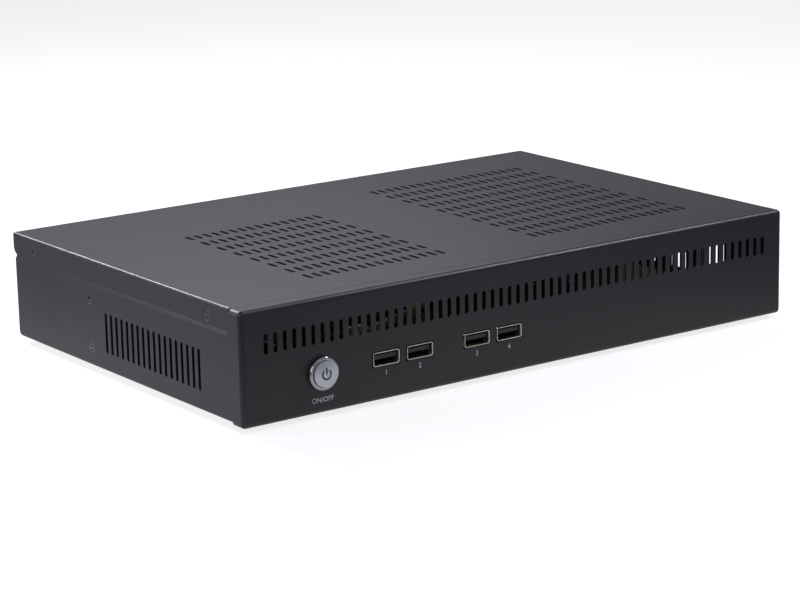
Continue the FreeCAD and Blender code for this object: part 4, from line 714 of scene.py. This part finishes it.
class PC_OT_button(bpy.types.Operator):
    """Chromed power button with its anodised cap and engraved standby symbol"""

    bl_idname = "industrial_pc.button"
    bl_label = "Finish the power button"

    def execute(self, context):
        settings = context.scene.pc_button
        coat(polished_chrome(), "power_button_housing")
        coat(satin_anodised_aluminium(settings), "power_button_cap")
        low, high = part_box("power_button_cap")
        front = middle_of(low, high)
        front.y = low.y
        cap_radius = (high.x - low.x) / 2
        sphere = (cap_radius**2 + CAP_DOME**2) / (2 * CAP_DOME)
        line, radius = settings.symbol_line, settings.symbol_radius

        def on_cap(x, z):
            """Point on the cap's dome, a hair in front of it."""
            back = sphere - math.sqrt(sphere**2 - x * x - z * z)
            return front + Vector((x, back - FILL_LIFT, z))

        def symbol(work):
            ring, bar = [], []
            for i in range(SYMBOL_STEPS + 1):
                turn = math.pi / 2 + SYMBOL_GAP + (math.tau - 2 * SYMBOL_GAP) * i / SYMBOL_STEPS
                reaches = [radius + s * line for s in (-0.5, 0, 0.5)]
                ring.append([on_cap(r * math.cos(turn), r * math.sin(turn)) for r in reaches])
            for i in range(BAR_STEPS + 1):
                level = radius * (BAR_SPAN[0] + (BAR_SPAN[1] - BAR_SPAN[0]) * i / BAR_STEPS)
                bar.append([on_cap(s * line, level) for s in (0.5, 0, -0.5)])
            for strip in (ring, bar):
                rows = [[work.verts.new(p) for p in row] for row in strip]
                for a, b in zip(rows, rows[1:]):
                    for i in (0, 1):
                        work.faces.new((a[i], a[i + 1], b[i + 1], b[i]))

        fill = printed_ink("engraved_fill", settings.symbol_colour)
        made = piece("standby_symbol", mesh_of("standby_symbol", symbol), fill, "power_button")
        for polygon in made.data.polygons:
            if polygon.normal.y > 0:
                polygon.flip()
        coat(nickel_plated_steel(), "power_button_nut")
        black = moulded_plastic("nylon_black_switch", linear("#17171A"), 0.5, 6.0, 0.2)
        coat(black, "power_button_switch")
        coat(gold_plating(), "power_button_terminals")
        natural = moulded_plastic("nylon_natural", linear("#D9D7CE"), 0.5, 5.0, 0.2)
        coat(natural, "power_button_plug", "lead_tie", "board_headers")
        return {"FINISHED"}


CORNER_STEPS = 5
USB_SHEET = 0.32 * MM
USB_FLARE = 0.18 * MM  # lip beyond the shell's sides
USB_HEIGHT = 5.6 * MM
USB_LEVEL_PITCH = 8.2 * MM  # between the two levels of a rear socket pair
SPRING_OFFSET, SPRING_HALF_WIDTH = 3.4, 1.0  # leaf springs, in mm from the socket's middle
SPRING_START, SPRING_LENGTH, SPRING_DIP = 1.6, 7.0, 0.42
SPRING_STEPS = 8
CONTACTS = 4
CONTACT_PITCH, CONTACT_HALF_WIDTH = 2.3 * MM, 0.5 * MM
TONGUE_UNDERSIDE = 2.55 * MM  # below the insulator's top
# mm in from the mouth, and mm below the tongue
CONTACT_PROFILE = ((0.9, 0.0), (1.3, 0.12), (4.5, 0.12), (9.0, 0.1))


def rounded_ring(half_width, half_height, radius):
    """Corner-rounded rectangle in the XZ plane as a closed list of points."""
    ring = []
    for quarter, (sx, sz) in enumerate(((1, 1), (-1, 1), (-1, -1), (1, -1))):
        centre = Vector((sx * (half_width - radius), 0, sz * (half_height - radius)))
        for i in range(CORNER_STEPS + 1):
            turn = (quarter + i / CORNER_STEPS) * math.pi / 2
            ring.append(centre + Vector((math.cos(turn), 0, math.sin(turn))) * radius)
    return ring


def socket_shell(work, low, high, sign):
    """Drawn shell of a USB socket, open towards sign * Y, with a flared lip and leaf springs."""
    middle, half = middle_of(low, high), (high - low) / 2
    mouth, back = (low.y, high.y) if sign < 0 else (high.y, low.y)
    inward = -sign
    # from the back, round the lip and in again: place along Y, growth over the box, corner radius in mm
    loops = [
        (back, 0, 0.7),
        (mouth + inward * 0.8 * MM, 0, 0.7),
        (mouth + inward * 0.15 * MM, USB_FLARE, 0.85),
        (mouth, USB_FLARE + 0.02 * MM, 0.85),
        (mouth, USB_FLARE - USB_SHEET * 0.8, 0.6),
        (mouth + inward * 0.5 * MM, -USB_SHEET, 0.45),
        (back - inward * USB_SHEET, -USB_SHEET, 0.45),
    ]
    rings = []
    for y, grow, radius in loops:
        ring = rounded_ring(half.x + grow, half.z + grow, radius * MM)
        rings.append([work.verts.new((middle.x + p.x, y, middle.z + p.z)) for p in ring])
    for a, b in zip(rings, rings[1:]):
        for i in range(len(a)):
            j = (i + 1) % len(a)
            work.faces.new((a[i], a[j], b[j], b[i]))
    work.faces.new(rings[0])
    work.faces.new(rings[-1])
    for x in (-SPRING_OFFSET, SPRING_OFFSET):
        for up in (1, -1):
            wall = middle.z + up * (half.z - USB_SHEET)
            rows = []
            for step in range(SPRING_STEPS + 1):
                share = step / SPRING_STEPS
                y = mouth + inward * (SPRING_START + SPRING_LENGTH * share) * MM
                dip = SPRING_DIP * MM * math.sin(math.pi * min(share * 1.25, 1.0)) + 0.01 * MM
                edges = [middle.x + (x + s * SPRING_HALF_WIDTH) * MM for s in (-1, 1)]
                rows.append([work.verts.new((edge, y, wall - up * dip)) for edge in edges])
            ribbon(work, rows)


def ribbon(work, rows):
    """Faces between rows of two points each."""
    for a, b in zip(rows, rows[1:]):
        work.faces.new((a[0], a[1], b[1], b[0]))


def tongue_contacts(work, low, high, sign):
    """Contact strips under the tongue of one USB socket, given the insulator's corners."""
    mouth = low.y if sign < 0 else high.y
    middle = (low.x + high.x) / 2
    under = high.z - TONGUE_UNDERSIDE
    for i in range(CONTACTS):
        x = middle + (i - (CONTACTS - 1) / 2) * CONTACT_PITCH
        rows = []
        for deep, drop in CONTACT_PROFILE:
            y = mouth - sign * deep * MM
            edges = (x - CONTACT_HALF_WIDTH, x + CONTACT_HALF_WIDTH)
            rows.append([work.verts.new((edge, y, under - drop * MM)) for edge in edges])
        ribbon(work, rows)


class PC_OT_sockets(bpy.types.Operator):
    """USB sockets with drawn shells, leaf springs and contact strips, front and rear"""

    bl_idname = "industrial_pc.sockets"
    bl_label = "Finish the USB sockets"

    def execute(self, context):
        nickel, gold = nickel_plated_steel(), gold_plating()
        black = moulded_plastic("nylon_black", linear("#111113"), 0.45, 6.0, 0.2)
        coat(black, "front_usb_insulators", "rear_usb_insulators", "dc_jack", "audio_jack")
        coat(black, "hdmi_insulator", "vga_insulator", "lan_inserts", "antenna_hole_plugs")
        coat(black, "coin_cell_holder", "memory_socket", "header_plugs", "drive_plug")
        for end, sign in (("front", -1), ("rear", 1)):
            node, insulators = end + "_usb_shells", end + "_usb_insulators"

            def shells(work):
                for low, high in solids(node):
                    levels = 2 if high.z - low.z > USB_LEVEL_PITCH else 1
                    for level in range(levels):
                        base = low.z + level * USB_LEVEL_PITCH
                        corner = Vector((low.x, low.y, base))
                        opposite = Vector((high.x, high.y, base + USB_HEIGHT))
                        socket_shell(work, corner, opposite, sign)

            made = piece(node + "_drawn", mesh_of(node, shells), nickel)
            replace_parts(made, node)

            def strips(work):
                for low, high in solids(insulators):
                    tongue_contacts(work, low, high, sign)

            piece(end + "_usb_contacts", mesh_of(node, strips), gold)
        return {"FINISHED"}


INK_LIFT = 0.02 * MM  # the ink's middle stands this far in front of the face
INK_HALF_THICKNESS = 0.01 * MM
DRAWN_SIZE = 10 * MM  # letters are drawn at this size and then scaled to their height
LETTER_BOLDNESS = 0.12 * MM


def printed(name, text, height, place, material):
    """Text printed on the front, centred at a place."""
    curve = bpy.data.curves.new(name, "FONT")
    curve.body, curve.size, curve.align_x = text, DRAWN_SIZE, "CENTER"
    curve.extrude, curve.offset = INK_HALF_THICKNESS, LETTER_BOLDNESS
    holder = bpy.data.objects.new(name + "_text", curve)
    bpy.context.scene.collection.objects.link(holder)
    bpy.context.view_layer.update()
    mesh = bpy.data.meshes.new_from_object(holder.evaluated_get(bpy.context.evaluated_depsgraph_get()))
    bpy.data.objects.remove(holder)
    levels = [vertex.co.y for vertex in mesh.vertices]
    low, high = min(levels), max(levels)
    scale = height / (high - low)
    mesh.transform(Matrix.Translation((0, -(low + high) / 2, 0)))
    mesh.transform(Matrix.Diagonal((scale, scale, 1, 1)))
    mesh.transform(Matrix.Translation(place) @ Matrix.Rotation(math.pi / 2, 4, "X"))
    return piece(name, mesh, material)


class PC_OT_printing(bpy.types.Operator):
    """Socket numbers and the switch marking printed on the front"""

    bl_idname = "industrial_pc.printing"
    bl_label = "Print the front"

    def execute(self, context):
        settings = context.scene.pc_print
        ink = printed_ink("white_epoxy_ink", settings.ink_colour)
        face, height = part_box("front_bezel")[0].y - INK_LIFT, settings.letter_height
        for number, (low, high) in enumerate(solids("front_usb_shells"), 1):
            middle = middle_of(low, high)
            place = Vector((middle.x, face, middle.z - settings.socket_drop))
            printed(f"socket_number_{number}", str(number), height, place, ink)
        middle = middle_of(*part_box("power_button_housing"))
        place = Vector((middle.x, face, middle.z - settings.switch_drop))
        printed("switch_marking", settings.switch_print, height, place, ink)
        return {"FINISHED"}


# from the button's plug, down and along behind the bezel's slots, and back to its header, in mm
BUTTON_LEAD_ROUTE = [
    (-110.6, -69.6, 19.65),
    (-110.6, -62.1, 19.65),
    (-106.6, -56.1, 17.15),
    (-100.0, -57.1, 15.65),
    (-97.0, -67.1, 17.15),
    (-95.0, -76.1, 21.15),
    (-90.0, -83.1, 26.35),
    (-48.0, -83.1, 34.95),
    (-37.0, -76.1, 38.65),
    (-31.0, -53.1, 40.65),
    (-27.5, -23.1, 40.15),
    (-26.0, 2.9, 38.15),
    (-26.0, 11.9, 30.65),
    (-26.0, 11.9, 19.9),
]
WIRE_SIDES = 8
WIRE_SPREAD = 1.38  # wires' distance from the bundle's middle, in wire radii


def smooth_line(route):
    """Evenly smooth points along a NURBS curve laid on a wire's route."""
    curve = bpy.data.curves.new("route", "CURVE")
    curve.dimensions, curve.resolution_u = "3D", 12
    spline = curve.splines.new("NURBS")
    spline.points.add(len(route) - 1)
    for target, point in zip(spline.points, route):
        target.co = (*(c * MM for c in point), 1.0)
    spline.order_u = 3
    spline.use_endpoint_u = True
    holder = bpy.data.objects.new("route", curve)
    mesh = bpy.data.meshes.new_from_object(holder)
    points = [v.co.copy() for v in mesh.vertices]
    bpy.data.objects.remove(holder)
    return points


def strand(work, line, radius, offset, start_turn, pitch):
    """One wire that winds slowly round a line at the given offset."""
    side = (line[1] - line[0]).orthogonal().normalized()
    run, rings = 0.0, []
    for i, point in enumerate(line):
        ahead = (line[min(i + 1, len(line) - 1)] - line[max(i - 1, 0)]).normalized()
        side = (side - ahead * side.dot(ahead)).normalized()
        if i:
            run += (point - line[i - 1]).length
        across = ahead.cross(side)
        turn = start_turn + math.tau * run / pitch
        centre = point + (side * math.cos(turn) + across * math.sin(turn)) * offset
        angles = [math.tau * k / WIRE_SIDES for k in range(WIRE_SIDES)]
        spokes = [side * math.cos(angle) + across * math.sin(angle) for angle in angles]
        rings.append([work.verts.new(centre + spoke * radius) for spoke in spokes])
    for a, b in zip(rings, rings[1:]):
        for k in range(WIRE_SIDES):
            m = (k + 1) % WIRE_SIDES
            work.faces.new((a[k], a[m], b[m], b[k]))
    work.faces.new(rings[0])
    work.faces.new(rings[-1])


class PC_OT_wiring(bpy.types.Operator):
    """Loose wires from the power button, in place of their plain bundle, and the sheathed cables"""

    bl_idname = "industrial_pc.wiring"
    bl_label = "Lay the wiring"

    def execute(self, context):
        settings = context.scene.pc_wiring
        line, radius = smooth_line(BUTTON_LEAD_ROUTE), settings.wire_radius
        colours = {
            "yellow": settings.upper_colour,
            "orange": settings.lower_colour,
            "brown": linear("#B98238"),
            "tan": linear("#CFA14E"),
        }
        for i, (colour_name, colour) in enumerate(colours.items()):
            name = "button_wire_" + colour_name
            start = math.tau * i / len(colours)

            def build(work):
                strand(work, line, radius, WIRE_SPREAD * radius, start, settings.twist_pitch)

            made = piece(name, mesh_of(name, build), wire_insulation("insulation_" + colour_name, colour))
            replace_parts(made, "power_button_lead")
        coat(extruded_sheath(), "front_usb_cables", "drive_cable")
        return {"FINISHED"}


class PC_OT_board(bpy.types.Operator):
    """Motherboard, small socket boards and what stands on them"""

    bl_idname = "industrial_pc.board"
    bl_label = "Finish the electronics"

    def execute(self, context):
        green = solder_mask("green_solder_mask", linear("#12291B"), linear("#254A33"))
        coat(green, "motherboard", "front_usb_boards")
        coat(solder_mask("black_solder_mask", linear("#1B1C1E"), linear("#3A3B3E")), "memory_module")
        coat(turned_brass(), "usb_board_pillars", "board_standoffs")
        coat(packaged_silicon(), "processor")
        coat(thermal_silicone(), "thermal_pad")
        coat(black_anodised_aluminium(), "heatsink")
        coat(sintered_ferrite(), "power_chokes")
        coat(drawn_aluminium_can(), "capacitors")
        coat(galvanised_steel(), "heatsink_backplate", "drive_bracket")
        coat(painted_drive_case(), "solid_state_drive")
        return {"FINISHED"}


LIGHT_SIZE = (2.6 * MM, 0.5 * MM, 1.7 * MM)
LIGHT_INSET = 2.3 * MM  # from a network socket's side
LIGHT_DROP = 1.9 * MM  # from its top
LIGHT_ROUNDING = 0.12 * MM


class PC_OT_rear(bpy.types.Operator):
    """Rear connectors: plated shells, contact springs and the network sockets' lights"""

    bl_idname = "industrial_pc.rear"
    bl_label = "Finish the rear connectors"

    def execute(self, context):
        coat(nickel_plated_steel(), "hdmi_shell", "vga_shell", "lan_shells", "dc_jack_pin", "vga_screws")
        coat(gold_plating(), "lan_contacts")
        lens = moulded_plastic("acrylic_lens", linear("#B9C2A8"), 0.2, 2.0, 0.4)

        def lights(work):
            for low, high in solids("lan_shells"):
                for x in (low.x + LIGHT_INSET, high.x - LIGHT_INSET):
                    place = Matrix.Translation((x, high.y, high.z - LIGHT_DROP))
                    bmesh.ops.create_cube(work, matrix=place @ Matrix.Diagonal((*LIGHT_SIZE, 1)))
            edges = work.edges[:]
            bmesh.ops.bevel(work, geom=edges, offset=LIGHT_ROUNDING, segments=2, profile=0.5, affect="EDGES")

        piece("network_lights", mesh_of("network_lights", lights), lens)
        return {"FINISHED"}


# ------------------------------------------------------------------ stage
LAMPS = {
    # name: (place, side, watts), all aimed at the middle of the chassis
    "key": ((0.481, -0.278, 0.605), 0.11, 2.7),
    "front": ((0.0, -1.263, 1.168), 0.8, 0.65),
    "left_front": ((-1.383, -0.799, 0.611), 0.8, 6.6),
    "left_rear": ((-0.669, 0.386, 0.237), 0.35, 1.6),
    "edge": ((-0.192, 0.627, 0.489), 0.1, 4.5),
    "rear_high": ((0.198, 0.544, 0.719), 0.35, 0.9),
    "rear_low": ((0.355, 0.614, 0.584), 0.35, 0.6),
}
LAMP_AIM = (0.0, 0.0, 0.03)
SURROUNDING_LIGHT = 0.1  # plain light from all round
FLOOR_SIZE = 8
FLOOR_GLOW = 0.8  # what the floor adds where the camera sees it
PAINTED_REFLECTION_FADE = (0.18, 0.28)  # distance from the middle over which the glow painted on the floor for reflections fades out
# strength of the glow painted on the floor near the middle, seen only in reflections: a painted pool of
# light
PAINTED_REFLECTION_GLOW = 0.57
WHITE_IN_GLOSS = 0.22  # powder coat at a low angle would turn pale if gloss saw all of the white
SENSOR_WIDTH = 36
LENS_SHIFT = (-0.06135, 0.00528)
VIEW_RANGE = (0.05, 50)


class PC_OT_stage(bpy.types.Operator):
    """Pale floor, soft lamps, white surroundings and the camera"""

    bl_idname = "industrial_pc.stage"
    bl_label = "Set the stage"

    def execute(self, context):
        settings, scene = context.scene.pc_stage, context.scene
        scene.view_settings.view_transform = "Standard"
        self.floor(settings)
        self.surroundings(scene)
        for name, (place, side, watts) in LAMPS.items():
            lamp = bpy.data.lights.new(name, "AREA")
            lamp.shape, lamp.size = "SQUARE", side
            lamp.energy, lamp.color = watts, settings.lamp_colour
            held = bpy.data.objects.new(name, lamp)
            scene.collection.objects.link(held)
            held.location = place
            held.rotation_euler = (Vector(LAMP_AIM) - Vector(place)).to_track_quat("-Z", "Y").to_euler()
            held.visible_camera = False
        lens = bpy.data.cameras.new("camera")
        lens.lens, lens.sensor_width = settings.focal_length, SENSOR_WIDTH
        lens.shift_x, lens.shift_y = LENS_SHIFT
        lens.clip_start, lens.clip_end = VIEW_RANGE
        camera = bpy.data.objects.new("camera", lens)
        scene.collection.objects.link(camera)
        camera.location, camera.rotation_euler = settings.camera_place, settings.camera_turn
        scene.camera = camera
        return {"FINISHED"}

    def shown(self, tree):
        """The light path, and whether the camera or something clear sees the background."""
        path = add(tree, "LightPath")
        rays = {0: (path, "Is Camera Ray"), 1: (path, "Is Transmission Ray")}
        return path, add(tree, "Math", {"operation": "MAXIMUM"}, rays)

    def floor(self, settings):
        """Floor that keeps the shadow, looks near white and has a glow painted on it that only reflections
        see.
        """

        def build(work):
            bmesh.ops.create_grid(work, x_segments=1, y_segments=1, size=FLOOR_SIZE)

        mesh = mesh_of("floor", build)
        material, tree, shader, place = finish("painted_floor", settings.floor_colour, 0.9)
        grained(tree, shader, place, 1.0, 0.01)
        path, seen = self.shown(tree)
        # gloss alone sees a painted glow on the floor round the object, which ends a hand's width beyond it:
        # a painted pool of light that the chassis shows as a painted reflection
        reach = add(tree, "VectorMath", {"operation": "LENGTH"}, {0: (place, "Object")})
        near, far = PAINTED_REFLECTION_FADE
        fade = {"From Min": near, "From Max": far, "To Min": PAINTED_REFLECTION_GLOW, "To Max": 0.0}
        # the painted glow: strongest near the middle and none beyond the fade
        sheet = add(tree, "MapRange", fade, {"Value": (reach, "Value")})
        in_gloss = {0: (path, "Is Glossy Ray"), 1: (sheet, "Result")}
        gloss = add(tree, "Math", {"operation": "MULTIPLY"}, in_gloss)
        share = {"operation": "MULTIPLY_ADD", 1: FLOOR_GLOW}
        level = add(tree, "Math", share, {0: (seen, "Value"), 2: (gloss, "Value")})
        glow = add(tree, "Emission", {"Color": (1, 1, 1, 1)}, {"Strength": (level, "Value")})
        both = add(tree, "AddShader", links={0: (shader, "BSDF"), 1: (glow, "Emission")})
        tree.links.new(both.outputs["Shader"], tree.nodes["Material Output"].inputs["Surface"])
        mesh.materials.append(material)
        floor = bpy.data.objects.new("floor", mesh)
        bpy.context.scene.collection.objects.link(floor)

    def surroundings(self, scene):
        """White to the camera, and a plain low light to the object."""
        world = bpy.data.worlds.new("studio")
        scene.world = world
        world.use_nodes = True
        tree = world.node_tree
        tree.nodes.clear()
        path, seen = self.shown(tree)
        share = {"operation": "MULTIPLY_ADD", 1: WHITE_IN_GLOSS}
        level = add(tree, "Math", share, {0: (path, "Is Glossy Ray"), 2: (seen, "Value")})
        lit = add(tree, "Background", {"Color": (1, 1, 1, 1), "Strength": SURROUNDING_LIGHT})
        white = add(tree, "Background", {"Color": (1, 1, 1, 1), "Strength": 1.0})
        ends = {0: (level, "Value"), 1: (lit, "Background"), 2: (white, "Background")}
        mix = add(tree, "MixShader", links=ends)
        add(tree, "OutputWorld", links={"Surface": (mix, "Shader")})


class PC_PT_panel(bpy.types.Panel):
    """Sizes, colours and steps of the industrial PC"""

    bl_idname = "PC_PT_panel"
    bl_label = "Industrial PC"
    bl_space_type = "VIEW_3D"
    bl_region_type = "UI"
    bl_category = "Industrial PC"

    def draw(self, context):
        for name, group in GROUPS.items():
            box = self.layout.box()
            for prop in group.__annotations__:
                box.prop(getattr(context.scene, name), prop)
        for step in STEPS:
            self.layout.operator(step.bl_idname)


GROUPS = {
    "pc_chassis": ChassisSettings,
    "pc_screws": ScrewSettings,
    "pc_button": ButtonSettings,
    "pc_print": PrintSettings,
    "pc_wiring": WiringSettings,
    "pc_stage": StageSettings,
}
STEPS = (
    PC_OT_stage,
    PC_OT_chassis,
    PC_OT_screws,
    PC_OT_feet,
    PC_OT_button,
    PC_OT_sockets,
    PC_OT_printing,
    PC_OT_wiring,
    PC_OT_board,
    PC_OT_rear,
)


def register():
    for group in GROUPS.values():
        bpy.utils.register_class(group)
    for step in (*STEPS, PC_PT_panel):
        bpy.utils.register_class(step)
    for name, group in GROUPS.items():
        setattr(bpy.types.Scene, name, PointerProperty(type=group))


def unregister():
    for name in GROUPS:
        delattr(bpy.types.Scene, name)
    for known in (PC_PT_panel, *reversed(STEPS), *GROUPS.values()):
        bpy.utils.unregister_class(known)


def main():
    register()
    for step in STEPS:
        group, name = step.bl_idname.split(".")
        getattr(getattr(bpy.ops, group), name)()


if __name__ == "__main__":
    main()
